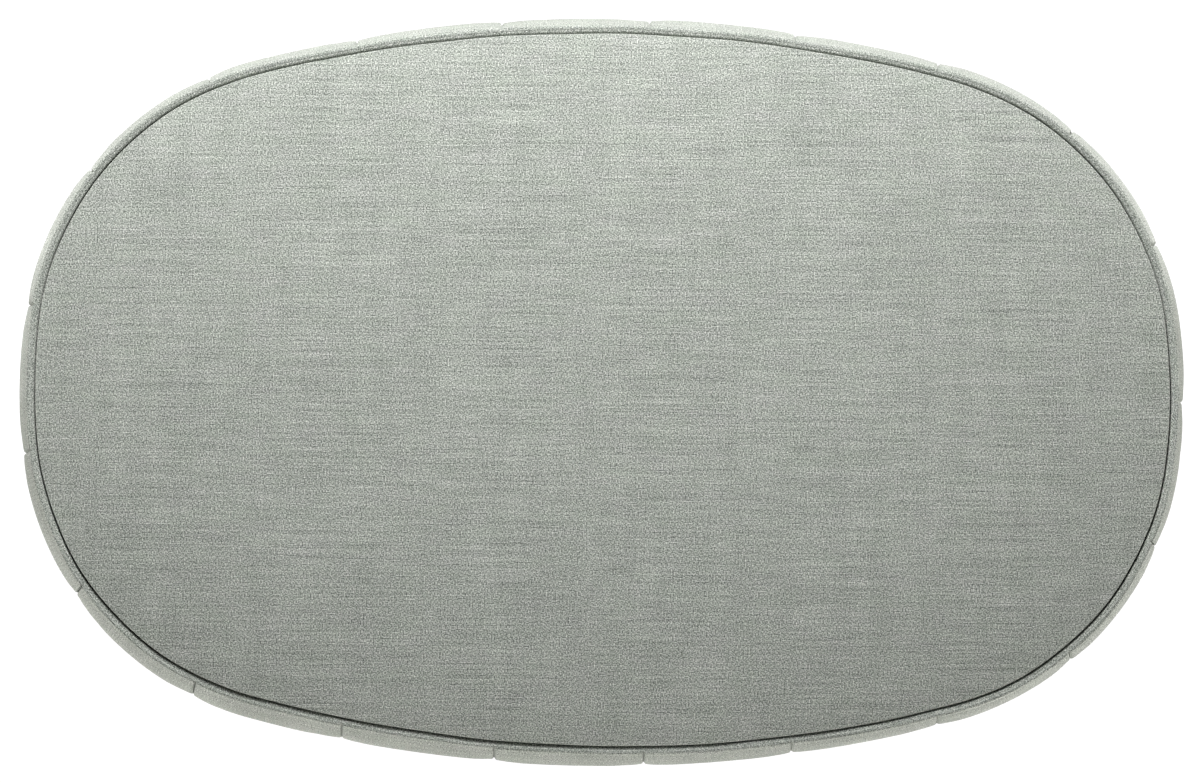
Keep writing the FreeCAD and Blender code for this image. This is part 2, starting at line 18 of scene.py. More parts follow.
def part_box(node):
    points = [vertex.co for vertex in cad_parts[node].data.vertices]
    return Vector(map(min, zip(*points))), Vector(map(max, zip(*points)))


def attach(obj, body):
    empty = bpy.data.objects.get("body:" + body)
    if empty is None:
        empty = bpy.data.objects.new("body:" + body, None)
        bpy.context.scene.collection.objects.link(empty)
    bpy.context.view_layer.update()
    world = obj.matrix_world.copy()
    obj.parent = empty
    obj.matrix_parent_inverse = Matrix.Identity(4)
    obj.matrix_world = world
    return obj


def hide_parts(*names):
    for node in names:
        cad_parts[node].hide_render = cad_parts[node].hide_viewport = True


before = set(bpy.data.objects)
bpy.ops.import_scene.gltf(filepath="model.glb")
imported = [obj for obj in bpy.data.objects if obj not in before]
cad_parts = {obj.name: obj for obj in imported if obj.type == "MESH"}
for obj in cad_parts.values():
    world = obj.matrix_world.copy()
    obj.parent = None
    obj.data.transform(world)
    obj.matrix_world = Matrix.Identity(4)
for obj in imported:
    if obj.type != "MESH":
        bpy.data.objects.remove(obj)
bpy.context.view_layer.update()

# %% [markdown]
# ## The sizes that the soft parts share with the solid model
# An upholsterer works from a few sizes: the oval's length and width, how far
# it bows, and how far in from the outline each layer lies. Repeating those
# numbers here, in metres, keeps every soft piece on the wood that carries it.

# %% Sizes in metres
LENGTH, WIDTH, HEIGHT = 1.0, 0.642, 0.4
CORNER_FROM_AXIS, END_BOW, SIDE_BOW = 0.0265, 0.00172, 0.0305
FLAT_TOP_INSET, CROWN_RADIUS = 0.18, 1.6
CREASE_INSET, CREASE_Z = 0.0155, 0.3870
WELT_RADIUS, CLOTH = 0.0026, 0.001
PANELS, PANEL_T = 21, 0.006
TUCK = 0.040
HIGH_TUCK_INSET, LOW_TUCK_INSET = 0.0088, 0.010
LIP_Z, SEAM_Z = 0.3883, 0.3844
HEM_Z, HEM_INSET = 0.058, 0.0566
ALLOWANCE_INSET = 0.0307
SEAM_DEPTH = 0.0028

# %% [markdown]
# ## One oval, made of eight arcs
# Seen from above, the outline is a rounded oval of three kinds of arc: nearly
# straight ends, round corners and slowly bowed sides. It could be drawn as a
# curve and offset by a modifier. Working it out as arcs is exact: a layer that
# lies some millimetres in keeps the same centres, with shorter radii.

# %% The oval by length along it
CORNER_RADIUS = WIDTH / 2 - SIDE_BOW - CORNER_FROM_AXIS
CORNER_X = LENGTH / 2 - END_BOW - CORNER_RADIUS
END_RADIUS = CORNER_RADIUS + END_BOW / 2 + CORNER_FROM_AXIS**2 / (2 * END_BOW)
SIDE_RADIUS = CORNER_RADIUS + SIDE_BOW / 2 + CORNER_X**2 / (2 * SIDE_BOW)
END_X, SIDE_Y = LENGTH / 2 - END_RADIUS, WIDTH / 2 - SIDE_RADIUS
END_TURN = math.atan2(CORNER_FROM_AXIS, CORNER_X - END_X)
SIDE_TURN = math.atan2(CORNER_FROM_AXIS - SIDE_Y, CORNER_X)
ARCS = (
    (END_X, 0.0, END_RADIUS, 0.0, END_TURN),
    (CORNER_X, CORNER_FROM_AXIS, CORNER_RADIUS, END_TURN, SIDE_TURN),
    (0.0, SIDE_Y, SIDE_RADIUS, SIDE_TURN, math.pi / 2),
)
QUARTER = sum(radius * (stop - start) for _, _, radius, start, stop in ARCS)
PERIMETER = 4 * QUARTER
PANEL_WIDTH = PERIMETER / PANELS


def on_outline(along):
    """Places and outward directions on the outline, by length from its right end."""
    along = np.mod(np.asarray(along, float), PERIMETER)
    quarter = np.floor_divide(along, QUARTER).astype(int) % 4
    rest = along - quarter * QUARTER
    back = quarter % 2 == 1
    rest = np.where(back, QUARTER - rest, rest)
    x, y, angle, gone = np.zeros_like(rest), np.zeros_like(rest), np.zeros_like(rest), 0.0
    for index, (cx, cy, radius, start, stop) in enumerate(ARCS):
        span = radius * (stop - start)
        here = (rest >= gone) & ((rest < gone + span) | (index == 2))
        turn = start + (rest - gone) / radius
        x = np.where(here, cx + radius * np.cos(turn), x)
        y = np.where(here, cy + radius * np.sin(turn), y)
        angle = np.where(here, turn, angle)
        gone += span
    nx, ny = np.cos(angle), np.sin(angle)
    flip_x = np.where((quarter == 1) | (quarter == 2), -1.0, 1.0)
    flip_y = np.where(quarter >= 2, -1.0, 1.0)
    return np.stack([x * flip_x, y * flip_y], -1), np.stack([nx * flip_x, ny * flip_y], -1)


def inset_of(x, y):
    """How far in from the outline a place inside the oval lies."""
    x, y = np.abs(x), np.abs(y)
    at_end = (x > END_X) & (np.arctan2(y, x - END_X) <= END_TURN)
    at_side = np.arctan2(y - SIDE_Y, x) >= SIDE_TURN
    corner = CORNER_RADIUS - np.hypot(x - CORNER_X, y - CORNER_FROM_AXIS)
    inset = np.where(at_side, SIDE_RADIUS - np.hypot(x, y - SIDE_Y), corner)
    return np.where(at_end, END_RADIUS - np.hypot(x - END_X, y), inset)


def crown(inset):
    """Height of the top panel: flat in the middle, slowly falling towards its edge."""
    run = np.clip(FLAT_TOP_INSET - inset, 0, None)
    return HEIGHT - (CROWN_RADIUS - np.sqrt(CROWN_RADIUS**2 - run**2))


print("perimeter", round(PERIMETER, 4), "panel width", round(PANEL_WIDTH, 4))

# %% [markdown]
# ## The camera
# The photograph looks straight down from far away, a little to the front of the
# middle, so the padded sides show as a wider band there. A long lens at four
# metres gives that view, rolled by half a degree as the stool lay. The camera's
# turn is given here in full: its top edge is the far side of the stool, which an
# aiming helper can't know when it looks down.

# %% Camera
def in_scene(name, data):
    """A new object that holds some data, linked into the scene."""
    obj = bpy.data.objects.new(name, data)
    bpy.context.scene.collection.objects.link(obj)
    return obj


PHOTO_WIDTH = 1200
eye = Vector((0.0045, -0.2024, 3.9))
aim = Vector((-0.0014, -0.0021, 0.375))
ROLL = math.radians(0.44)
camera = in_scene("camera", bpy.data.cameras.new("camera"))
back = (eye - aim).normalized()
level_side = (Vector((1, 0, 0)) - back * back.x).normalized()
side = level_side * math.cos(ROLL) + back.cross(level_side) * math.sin(ROLL)
camera.matrix_world = Matrix.Translation(eye) @ Matrix((side, back.cross(side), back)).transposed().to_4x4()
camera.data.sensor_width = 36.0
camera.data.lens = 123.76
bpy.context.scene.camera = camera
print("camera", round((eye - aim).length, 3), "m away, one pixel is about",
      round(1000 * (eye.z - HEIGHT) * 36 / camera.data.lens / PHOTO_WIDTH, 3), "mm")

# %% [markdown]
# ## Light, floor and white surroundings
# A broad soft lamp behind the stool brightens the far half of the top and
# leaves the near half quieter. Low lamps round it and an even sky lift the
# sides. The floor is pale paper: the camera sees it nearly white, with the
# stool's shadow still on it, and no extra light reaches the stool for that.


# %% One function for every shader node
def add(tree, kind, inputs=None, stops=(), **settings):
    """Adds a node. Inputs are values, sockets, or nodes that link by their first
    output; stops are a colour ramp's places and hex colours, its two ends first."""
    node = tree.nodes.new(kind)
    for name, value in settings.items():
        setattr(node, name, value)
    for key, value in (inputs or {}).items():
        if isinstance(value, bpy.types.Node):
            value = value.outputs[0]
        if isinstance(value, bpy.types.NodeSocket):
            tree.links.new(value, node.inputs[key])
        else:
            node.inputs[key].default_value = value
    for index, (place, code) in enumerate(stops):
        elements = node.color_ramp.elements
        element = elements[index] if index < 2 else elements.new(place)
        element.position, element.color = place, linear(code)
    return node


def linear(code, alpha=1.0):
    """An sRGB hex colour as the linear colour that a shader works with."""
    parts = [int(code[i:i + 2], 16) / 255 for i in (1, 3, 5)]
    return tuple(c / 12.92 if c <= 0.04045 else ((c + 0.055) / 1.055) ** 2.4 for c in parts) + (alpha,)


def new_material(name):
    """An empty material and its tree."""
    material = bpy.data.materials.new(name)
    material.use_nodes = True
    material.node_tree.nodes.clear()
    return material, material.node_tree


def surface(tree, colour, rough, height=None, strength=0.0, depth=0.0, **more):
    """Ends a material; a height pattern raises its surface by up to the depth in metres."""
    inputs = {"Base Color": colour, "Roughness": rough}
    inputs.update({key.replace("_", " "): value for key, value in more.items()})
    if height is not None:
        inputs["Normal"] = add(tree, "ShaderNodeBump", {"Height": height, "Strength": strength,
                                                        "Distance": depth})
    add(tree, "ShaderNodeOutputMaterial", {0: add(tree, "ShaderNodeBsdfPrincipled", inputs)})


def seen_directly(tree):
    """1 where a ray comes from the camera, a reflection or a clear body, else 0."""
    path = add(tree, "ShaderNodeLightPath").outputs
    either = add(tree, "ShaderNodeMath", {0: path["Is Camera Ray"], 1: path["Is Glossy Ray"]},
                 operation="MAXIMUM")
    return add(tree, "ShaderNodeMath", {0: either, 1: path["Is Transmission Ray"]}, operation="MAXIMUM")


# %% Sky and floor
bpy.context.scene.view_settings.view_transform = "Standard"
world = bpy.data.worlds.new("studio")
bpy.context.scene.world = world
world.use_nodes = True
tree = world.node_tree
tree.nodes.clear()
WHITE = linear("#FFFFFF")
SKY = 0.03
sky = add(tree, "ShaderNodeBackground", {"Color": WHITE, "Strength": SKY})
white = add(tree, "ShaderNodeBackground", {"Color": WHITE, "Strength": 1.0})
both = add(tree, "ShaderNodeMixShader", {0: seen_directly(tree), 1: sky, 2: white})
add(tree, "ShaderNodeOutputWorld", {0: both})

FLOOR_REACH, FLOOR_GLOW, FLOOR_SHARE = 8.0, 1.16, 0.89
paper, tree = new_material("matt_paper_backdrop")
fibre = add(tree, "ShaderNodeTexNoise", {"Scale": 40.0, "Detail": 3.0,
                                         "Vector": add(tree, "ShaderNodeTexCoord").outputs["Object"]})
tint = add(tree, "ShaderNodeMix", {0: fibre, 6: linear("#EDECE9"), 7: linear("#F4F3F1")},
           data_type="RGBA")
matt = add(tree, "ShaderNodeBsdfDiffuse", {"Color": tint.outputs[2]})
lit = add(tree, "ShaderNodeEmission", {"Color": WHITE, "Strength": FLOOR_GLOW})
share = add(tree, "ShaderNodeMath", {0: seen_directly(tree), 1: FLOOR_SHARE}, operation="MULTIPLY")
both = add(tree, "ShaderNodeMixShader", {0: share, 1: matt, 2: lit})
add(tree, "ShaderNodeOutputMaterial", {0: both})
floor_mesh = bpy.data.meshes.new("floor")
corners = [(x * FLOOR_REACH, y * FLOOR_REACH, 0) for x, y in ((-1, -1), (1, -1), (1, 1), (-1, 1))]
floor_mesh.from_pydata(corners, [], [(0, 1, 2, 3)])
floor_mesh.materials.append(paper)
in_scene("floor", floor_mesh)


# %% Lamps
def soft_lamp(name, place, power, height=0.36, size=0.8, tint="#FFFFFF"):
    """A square area lamp that faces a point on the stool's middle line."""
    data = bpy.data.lights.new(name, "AREA")
    data.size, data.energy, data.color = size, power, linear(tint)[:3]
    lamp = in_scene(name, data)
    lamp.location = place
    lamp.rotation_euler = (Vector(place) - Vector((0, 0, height))).to_track_quat("Z", "Y").to_euler()


WARM = "#FFFDFA"
soft_lamp("far_key", (-0.10, 1.37, 1.50), 45.5, height=0.38, size=0.6)
soft_lamp("left_fill", (-2.5, 0.1, 0.30), 33, tint=WARM)
soft_lamp("right_fill", (2.5, 0.1, 0.30), 38, tint=WARM)
soft_lamp("near_fill", (0, -2.3, 0.38), 36, tint=WARM)
soft_lamp("far_fill", (0, 2.3, 0.34), 2)

# %% [markdown]
# ## Building pieces from rows of points
# Every soft piece here is a grid of points: columns run round the stool and
# rows run across the cloth. One helper turns a grid, or two grids that close
# each other off, into a mesh, and lays the cloth's own flat pattern on it as a
# UV map in metres. The weave then runs with the cloth, as on the real cover.


# %% From grids of points to a mesh
def quads(rows, columns, round_rows=False, round_columns=False):
    """Corner places (row, column) of a grid's quads; a round grid joins its ends."""
    r, c = np.meshgrid(np.arange(rows - (not round_rows)), np.arange(columns - (not round_columns)),
                       indexing="ij")
    r, c = r.ravel(), c.ravel()
    return np.stack([r, r + 1, r + 1, r], 1), np.stack([c, c, c + 1, c + 1], 1)


def mesh_object(name, points, faces, corner_uv, material):
    """A smooth object of loose numpy faces with a cloth UV map; its callers turn the faces outwards with
    tidy_mesh.
    """
    mesh = bpy.data.meshes.new(name)
    mesh.from_pydata(points.tolist(), [], [list(face) for face in faces])
    layer = mesh.uv_layers.new(name="cloth")
    layer.data.foreach_set("uv", np.asarray(corner_uv, float).ravel())
    mesh.polygons.foreach_set("use_smooth", np.ones(len(mesh.polygons), bool))
    mesh.materials.append(material)
    mesh.update()
    return in_scene(name, mesh)


def tidy_mesh(obj, doubles=2e-6):
    """Merges doubles and turns all faces outwards."""
    work = bmesh.new()
    work.from_mesh(obj.data)
    bmesh.ops.remove_doubles(work, verts=work.verts, dist=doubles)
    bmesh.ops.dissolve_degenerate(work, edges=work.edges, dist=1e-7)
    bmesh.ops.recalc_face_normals(work, faces=work.faces)
    work.to_mesh(obj.data)
    work.free()
    return obj


def ring_piece(name, points, uv, material):
    """A closed tube round the stool: rows go round its section, columns round the oval."""
    rows, columns = points.shape[:2]
    r, c = quads(rows, columns, True, True)
    faces = (r % rows) * columns + c % columns
    return tidy_mesh(mesh_object(name, points.reshape(-1, 3), faces, uv[r, c], material))


def slab_piece(name, outer, inner, uv, material, round_columns=False, hub=False):
    """A closed slab between two grids of one size; with a hub, its first row is one point."""
    rows, columns = outer.shape[:2]
    points = np.concatenate([outer.reshape(-1, 3), inner.reshape(-1, 3)])
    shift = rows * columns
    r, c = quads(rows, columns, False, round_columns)
    front = r * columns + c % columns
    faces, corners = [front, front[:, ::-1] + shift], [uv[r, c], uv[r, c][:, ::-1]]
    edges = []
    span = np.arange(columns - (not round_columns))
    for row in ((rows - 1,) if hub else (0, rows - 1)):
        edges.append(((row, span), (row, span + 1)))
    if not round_columns:
        span = np.arange(rows - 1)
        edges += [((span, col), (span + 1, col)) for col in (0, columns - 1)]
    for (ra, ca), (rb, cb) in edges:
        ra, ca, rb, cb = np.broadcast_arrays(ra, ca, rb, cb)
        a, b = ra * columns + ca % columns, rb * columns + cb % columns
        faces.append(np.stack([a, b, b + shift, a + shift], 1))
        corners.append(np.stack([uv[ra, ca], uv[rb, cb], uv[rb, cb], uv[ra, ca]], 1))
    return tidy_mesh(mesh_object(name, points, np.concatenate(faces), np.concatenate(corners), material))


def dressed(piece, node):
    """Lets a piece stand for its CAD node and ride on the frame."""
    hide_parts(node)
    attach(piece, "root")
    return piece


def half_area(piece):
    """One side of a closed two-sided cloth, in square metres."""
    return 0.5 * sum(face.area for face in piece.data.polygons)


def waves(along, seed, longest, count=5):
    """A smooth wander between about -1 and 1 that repeats once round the stool."""
    dice = np.random.default_rng(seed)
    first = max(1, round(PERIMETER / longest))
    total = np.zeros_like(np.asarray(along, float))
    for turn in range(first, first + count * 3, 3):
        total += np.sin(2 * np.pi * turn * along / PERIMETER + dice.uniform(0, 2 * np.pi)) / count**0.5
    return total


# %% [markdown]
# ## Linen-look slub weave
# The cover is a polyester and viscose cloth woven to look like linen. Its weft
# has slubs: thicker and thinner stretches of yarn that show as light and dark
# streaks across the stool. The warp is finer. Real threads are about 0.8 mm
# apart, about as fine as a pixel of the render, so the speckle is drawn at
# 1.1 to 1.3 mm. A soft sheen stands for the fine fibres that catch side light.

# %% The cover cloth's material
THREAD = 0.0016
SLUB_LENGTH, SLUB_SHORT, SLUB_THICK = 0.090, 0.018, 0.0009
MOTTLE = 0.017
YARN_DRIFT = 0.0012


def slub_weave(name, dark, middle, light, turn=0.0, speckle=1.0):
    """The cloth's material; turn is the angle at which the piece was cut from the roll."""
    material, tree = new_material(name)
    flat = add(tree, "ShaderNodeUVMap", uv_map="cloth")
    wander = add(tree, "ShaderNodeTexNoise", {"Vector": flat, "Scale": 55.0, "Detail": 1.0})
    drift = add(tree, "ShaderNodeVectorMath", {0: wander.outputs["Color"], 1: (0.5, 0.5, 0.5)},
                operation="SUBTRACT")
    cut = add(tree, "ShaderNodeMapping", {"Vector": flat, "Rotation": (0, 0, turn)})
    cloth = add(tree, "ShaderNodeVectorMath", {0: drift, 1: (YARN_DRIFT, YARN_DRIFT, 0), 2: cut},
                operation="MULTIPLY_ADD")

    def streaks(long, wide, detail, seed):
        """Streaks of one length along the weft and one width across it."""
        scaled = add(tree, "ShaderNodeMapping", {"Vector": cloth, "Location": (seed, seed, 0),
                                                 "Scale": (1 / long, 1 / wide, 1)})
        return add(tree, "ShaderNodeTexNoise", {"Vector": scaled, "Scale": 1.0, "Detail": detail,
                                                "Roughness": 0.6}, noise_dimensions="2D")

    total = 0.5
    for long, wide, detail, seed, weight in (
        (SLUB_LENGTH * 1.6, SLUB_THICK * 1.1, 1.0, 3.1, 0.30),          # long slubs
        (SLUB_LENGTH * 0.47, SLUB_THICK * 1.25, 1.0, 7.3, 0.24),        # middling slubs
        (SLUB_SHORT, SLUB_THICK * 1.2, 1.0, 11.7, 0.10),                # short slubs
        (THREAD, SLUB_SHORT, 1.0, 23.4, 0.12),                          # warp threads
        (THREAD * 0.78, THREAD * 0.66, 1.0, 37.9, 1.50 * speckle),      # crossings of the threads
        (THREAD * 2.2, THREAD * 1.6, 1.0, 44.1, 0.12 * speckle),        # groups of crossings
        (MOTTLE, MOTTLE * 0.6, 2.0, 51.3, 0.06),                        # soft patches
        (MOTTLE * 8, MOTTLE, 1.0, 59.2, 0.05),                          # bands along the weft
        (MOTTLE, MOTTLE * 8, 1.0, 61.7, 0.07),                          # bands along the warp
    ):
        centred = add(tree, "ShaderNodeMath", {0: streaks(long, wide, detail, seed), 1: 0.5},
                      operation="SUBTRACT")
        total = add(tree, "ShaderNodeMath", {0: centred, 1: weight, 2: total}, operation="MULTIPLY_ADD")
    yarn = add(tree, "ShaderNodeValToRGB", {"Fac": total},
               stops=((0.0, dark), (1.0, light), (0.5, middle)))
    tinted = add(tree, "ShaderNodeMix", {0: streaks(MOTTLE * 2.2, MOTTLE, 2.0, 67.0),
                                         6: linear("#FBFFF9"), 7: linear("#FFFCFF")}, data_type="RGBA")
    colour = add(tree, "ShaderNodeMix", {0: 1.0, 6: yarn, 7: tinted.outputs[2]}, data_type="RGBA",
                 blend_type="MULTIPLY")
    surface(tree, colour.outputs[2], 0.92, total, 0.5, 0.0004, Specular_IOR_Level=0.18,
            Sheen_Weight=0.4, Sheen_Roughness=0.4, Sheen_Tint=linear("#F3F5F1"))
    return material


cover_cloth = slub_weave("linen_look_slub_weave", "#3F4540", "#A3A8A1", "#F0F2EC")
# The piping's copy is turned for the bias cut, and its middle tone is a little darker: painted shade.
piping_cloth_bias_cut_and_painted_shade = slub_weave("linen_look_slub_weave_bias_cut_with_painted_shade", "#3F4540", "#A1A69F", "#F0F2EC",
                          turn=math.radians(45), speckle=1.25)
print("cloth materials:", cover_cloth.name, piping_cloth_bias_cut_and_painted_shade.name)

# %% [markdown]
# ## Letting the padding swell
# Padded cloth bulges between the lines where it is sewn down. Blender's Cloth
# finds that shape: a flat grid is pinned along its seams, cut slightly too
# large for its frame, and blown up by a little pressure with gravity off. The
# result is read as a height field, capped, and laid over each curved piece.

# %% A pinned and swollen piece of cloth
SIM_FRAMES = 20


def swell(width, height, step, seed, pressure, slack, pinned, cap):
    """Heights of a swollen sheet on a grid of its own, as rows along its height."""
    columns, rows = max(3, round(width / step) + 1), max(3, round(height / step) + 1)
    u, v = np.meshgrid(np.linspace(0, width, columns), np.linspace(0, height, rows))
    dice = np.random.default_rng(seed)
    points = np.stack([u, v, dice.uniform(-2e-4, 2e-4, u.shape)], -1)
    held = pinned(u, v)
    points[held, 2] = 0
    mesh = bpy.data.meshes.new("swelling")
    r, c = quads(rows, columns)
    mesh.from_pydata(points.reshape(-1, 3).tolist(), [], (r * columns + c)[:, ::-1].tolist())
    sheet = in_scene("swelling", mesh)
    pins = sheet.vertex_groups.new(name="sewn")
    pins.add(np.flatnonzero(held.ravel()).tolist(), 1.0, "REPLACE")
    cloth = sheet.modifiers.new("cloth", "CLOTH")
    for setting, value in {"quality": 6, "vertex_group_mass": "sewn", "tension_stiffness": 20,
                           "compression_stiffness": 20, "bending_stiffness": 0.8, "use_pressure": True,
                           "uniform_pressure_force": pressure, "shrink_min": -slack,
                           "shrink_max": -slack}.items():
        setattr(cloth.settings, setting, value)
    cloth.settings.effector_weights.gravity = 0
    cloth.collision_settings.use_collision = False
    cloth.point_cache.frame_start, cloth.point_cache.frame_end = 1, SIM_FRAMES
    for frame_number in range(1, SIM_FRAMES + 1):
        bpy.context.scene.frame_set(frame_number)
    evaluated = sheet.evaluated_get(bpy.context.evaluated_depsgraph_get()).to_mesh()
    heights = np.empty(len(evaluated.vertices) * 3)
    evaluated.vertices.foreach_get("co", heights)
    bpy.data.objects.remove(sheet)
    bpy.context.scene.frame_set(1)
    return np.clip(heights.reshape(rows, columns, 3)[..., 2], -cap, cap)


def read_heights(heights, width, height, u, v):
    """The swollen height at places u, v, between the grid's own points."""
    rows, columns = heights.shape
    x = np.clip(u / width * (columns - 1), 0, columns - 1.001)
    y = np.clip(v / height * (rows - 1), 0, rows - 1.001)
    i, j = y.astype(int), x.astype(int)
    fy, fx = y - i, x - j
    return ((1 - fy) * ((1 - fx) * heights[i, j] + fx * heights[i, j + 1])
            + fy * ((1 - fx) * heights[i + 1, j] + fx * heights[i + 1, j + 1]))


# %% [markdown]
# ## The top panel
# One taut piece of cloth covers the top. It is pulled over the wadding, turns
# down sharply at its edge and is sewn to the piping out of sight. It could be
# a subdivided disc, but a grid that follows the oval puts its fine rows where
# the edge turns. The sewn edge wanders by up to 2.5 mm, as hand sewing does, and
# the gap beside it is wider at the ends. A broad swell keeps the middle from
# looking machined.

# %% Rows and columns of the top panel
COLUMNS = 540
EDGE_ROLL, EDGE_DROP, SLOT = 0.0009, 0.0020, 0.0006
RIM_BAND = 0.045
MIDDLE_ROWS, RIM_ROWS = 46, 16
around = np.linspace(0, PERIMETER, COLUMNS + 1)


def wander_at(along):
    """How far in from its even line the edge seam was sewn: slow drifts and a small unsteadiness."""
    turn = 2 * np.pi * np.asarray(along) / PERIMETER
    drift = (0.00035 + 0.00096 * np.cos(turn + 2.81) + 0.00152 * np.cos(2 * turn - 2.11)
             + 0.00038 * np.cos(3 * turn + 0.55))
    return drift + 0.00025 * waves(along, 8, 0.17)


crease_wander = wander_at(around)
gap_turn = 2 * np.pi * around / PERIMETER
open_ends = 0.0008 * np.cos(gap_turn) ** 2 + 0.0003 * np.minimum(np.sin(gap_turn), 0)
TOP_SWELL = 0.0016
OVER = 0.05
bulge = swell(LENGTH + OVER, WIDTH + OVER, 0.0125, 11, 3.0, 0.0,
              lambda u, v: inset_of(u - (LENGTH + OVER) / 2, v - (WIDTH + OVER) / 2) < CREASE_INSET + 0.004,
              TOP_SWELL * 1.6)
bulge = bulge * (TOP_SWELL / max(1e-9, bulge.max())) if bulge.max() > 0 else bulge


def top_height(x, y):
    """Height of the cloth in the middle of the top, with its swell and soft unevenness."""
    swell_here = read_heights(bulge, LENGTH + OVER, WIDTH + OVER,
                              x + (LENGTH + OVER) / 2, y + (WIDTH + OVER) / 2)
    uneven = 0.00018 * (np.sin(31 * x + 9 * y + 1.3) * np.sin(23 * y - 5 * x + 0.4)
                        + 0.6 * np.sin(71 * x - 17 * y) * np.sin(61 * y + 13 * x + 2.0))
    return crown(inset_of(x, y)) + swell_here + uneven


def cover_grid(below):
    """The top panel's points, one cloth thickness below its face if below is set."""
    place, outward = on_outline(around)
    moved = crease_wander + open_ends
    lift, tight = (-CLOTH, CLOTH) if below else (0.0, 0.0)
    bend = CREASE_INSET + SLOT + EDGE_ROLL

    def ring(inset):
        return place - outward * (inset + moved)[:, None]

    def on_top(flat):
        return np.column_stack([flat, top_height(flat[:, 0], flat[:, 1]) + lift])

    def level_ring(flat, z):
        return np.column_stack([flat, np.full(len(around), z)])

    rows = [on_top(ring(RIM_BAND) * share) for share in np.linspace(0, 1, MIDDLE_ROWS)[:-1] ** 0.85]
    rows += [on_top(ring(inset)) for inset in np.linspace(RIM_BAND, bend, RIM_ROWS)]
    height = rows[-1][:, 2] - lift
    for angle in np.radians([15, 30, 45, 60, 75, 90]):
        rows.append(np.column_stack([ring(bend - (EDGE_ROLL - tight) * math.sin(angle)),
                                     height - EDGE_DROP + (EDGE_DROP + lift) * math.cos(angle)]))
    low = SEAM_Z + CLOTH + tight
    rows.append(level_ring(ring(CREASE_INSET + SLOT + tight), low))
    rows += [level_ring(place - outward * inset, low) for inset in (0.020, 0.0255, ALLOWANCE_INSET)]
    return np.stack(rows)


face_side, inner_side = cover_grid(False), cover_grid(True)
path = np.concatenate([[0], np.cumsum(np.linalg.norm(np.diff(face_side, axis=0), axis=2).mean(1))])
flat_uv = face_side[..., :2].copy()
rim_row = MIDDLE_ROWS + RIM_ROWS - 2
_, outward = on_outline(around)
for row in range(rim_row, len(face_side)):
    flat_uv[row] = flat_uv[rim_row - 1] + outward * (path[row] - path[rim_row - 1])
top_cover = slab_piece("top_panel_cloth", face_side[:, :-1], inner_side[:, :-1], flat_uv, cover_cloth,
                       round_columns=True, hub=True)
dressed(top_cover, "top_cover")
print("top panel", len(top_cover.data.polygons), "faces, cloth", round(half_area(top_cover), 3), "m2")

# %% [markdown]
# ## Wadding, foam and cloth layers inside
# Under the cover lie a sheet of polyester wadding, a foam slab on stretched
# webbing, and a foam strip glued round the wooden wall. They are simple forms,
# but they are real pieces that can be seen when the cover is taken off. Each
# is a disc or a ring that follows the same oval at its own inset.


# %% Discs and rings that follow the oval
LAYER_COLUMNS = 216


def disc_piece(name, inset, top, bottom, material, rows=14, rounding=0.0, edge_gap=0.0, wander=0.0):
    """A layer that fills the oval at an inset, between two height functions."""
    along = np.linspace(0, PERIMETER, LAYER_COLUMNS + 1)
    place, outward = on_outline(along)
    inset = inset + wander * wander_at(along)[:, None]
    upper, lower = [], []
    steps = [(share, 0.0) for share in np.linspace(0, 1, rows)]
    if rounding:
        steps += [(1.0, math.radians(angle)) for angle in (30, 60, 90)]
    for share, angle in steps:
        rim = place - outward * (inset + rounding * (1 - math.sin(angle)))
        flat = rim * share
        drop = rounding * (1 - math.cos(angle))
        upper.append(np.column_stack([flat, top(flat[:, 0], flat[:, 1]) - drop]))
        lower.append(np.column_stack([flat, bottom(flat[:, 0], flat[:, 1]) + min(drop, edge_gap)]))
    upper, lower = np.stack(upper), np.stack(lower)
    return slab_piece(name, upper[:, :-1], lower[:, :-1], upper[..., :2], material,
                      round_columns=True, hub=True)


def level(z):
    """A height function that is the same everywhere."""
    return lambda x, y: np.full(np.shape(x), z)


def swept_ring(name, section, material, columns=LAYER_COLUMNS, wander=0.0):
    """A ring round the stool from (inset, height) corners of its section."""
    along = np.linspace(0, PERIMETER, columns + 1)
    place, outward = on_outline(along)
    section = np.asarray(section, float)
    moved = wander * wander_at(along)
    points = np.stack([np.column_stack([place - outward * (inset + moved)[:, None],
                                        np.full(len(along), z)]) for inset, z in section])
    round_it = np.concatenate([[0], np.cumsum(np.linalg.norm(
        np.diff(np.vstack([section, section[:1]]), axis=0), axis=1))])
    uv = np.stack(np.meshgrid(along, round_it), -1)
    return ring_piece(name, points[:, :-1], uv, material)


# %% Materials of the layers inside
def soft_finish(name, dark, light, scale, rough, depth, stretch=(1, 1, 1), sheen=0.0):
    """A fibrous or cellular finish, with its colour and bump from one pattern; its low places are painted
    darker, partly the fibres' own tone and partly painted shade.
    """
    material, tree = new_material(name)
    place = add(tree, "ShaderNodeMapping", {"Vector": add(tree, "ShaderNodeTexCoord").outputs["Object"],
                                            "Scale": stretch})
    fibres = add(tree, "ShaderNodeTexNoise", {"Vector": place, "Scale": scale, "Detail": 4.0})
    colour = add(tree, "ShaderNodeValToRGB", {"Fac": fibres}, stops=((0.3, dark), (0.7, light)))
    surface(tree, colour, rough, fibres, 0.6, depth, Sheen_Weight=sheen)
    return material


# Polyether foam: open cells about 1 mm wide give a pale, finely pitted face; the pits are painted darker,
# as painted shade.
foam = soft_finish("cut_polyether_foam", "#DDD3A8", "#F0E8C6", 900.0, 0.95, 0.0005)
# Polyester wadding: crimped white fibres, a cloudy surface with a soft sheen.
wadding = soft_finish("needled_polyester_wadding", "#DCDDDC", "#F4F5F4", 240.0, 1.0, 0.0012,
                      (1, 2.5, 1), 0.4)
# Cotton piping cord: loosely twisted yarn, off-white with short slanting shadows.
piping_yarn = soft_finish("twisted_cotton_cord", "#CFC7B2", "#EFE9D9", 500.0, 0.95, 0.0004, (1, 1, 0.4))


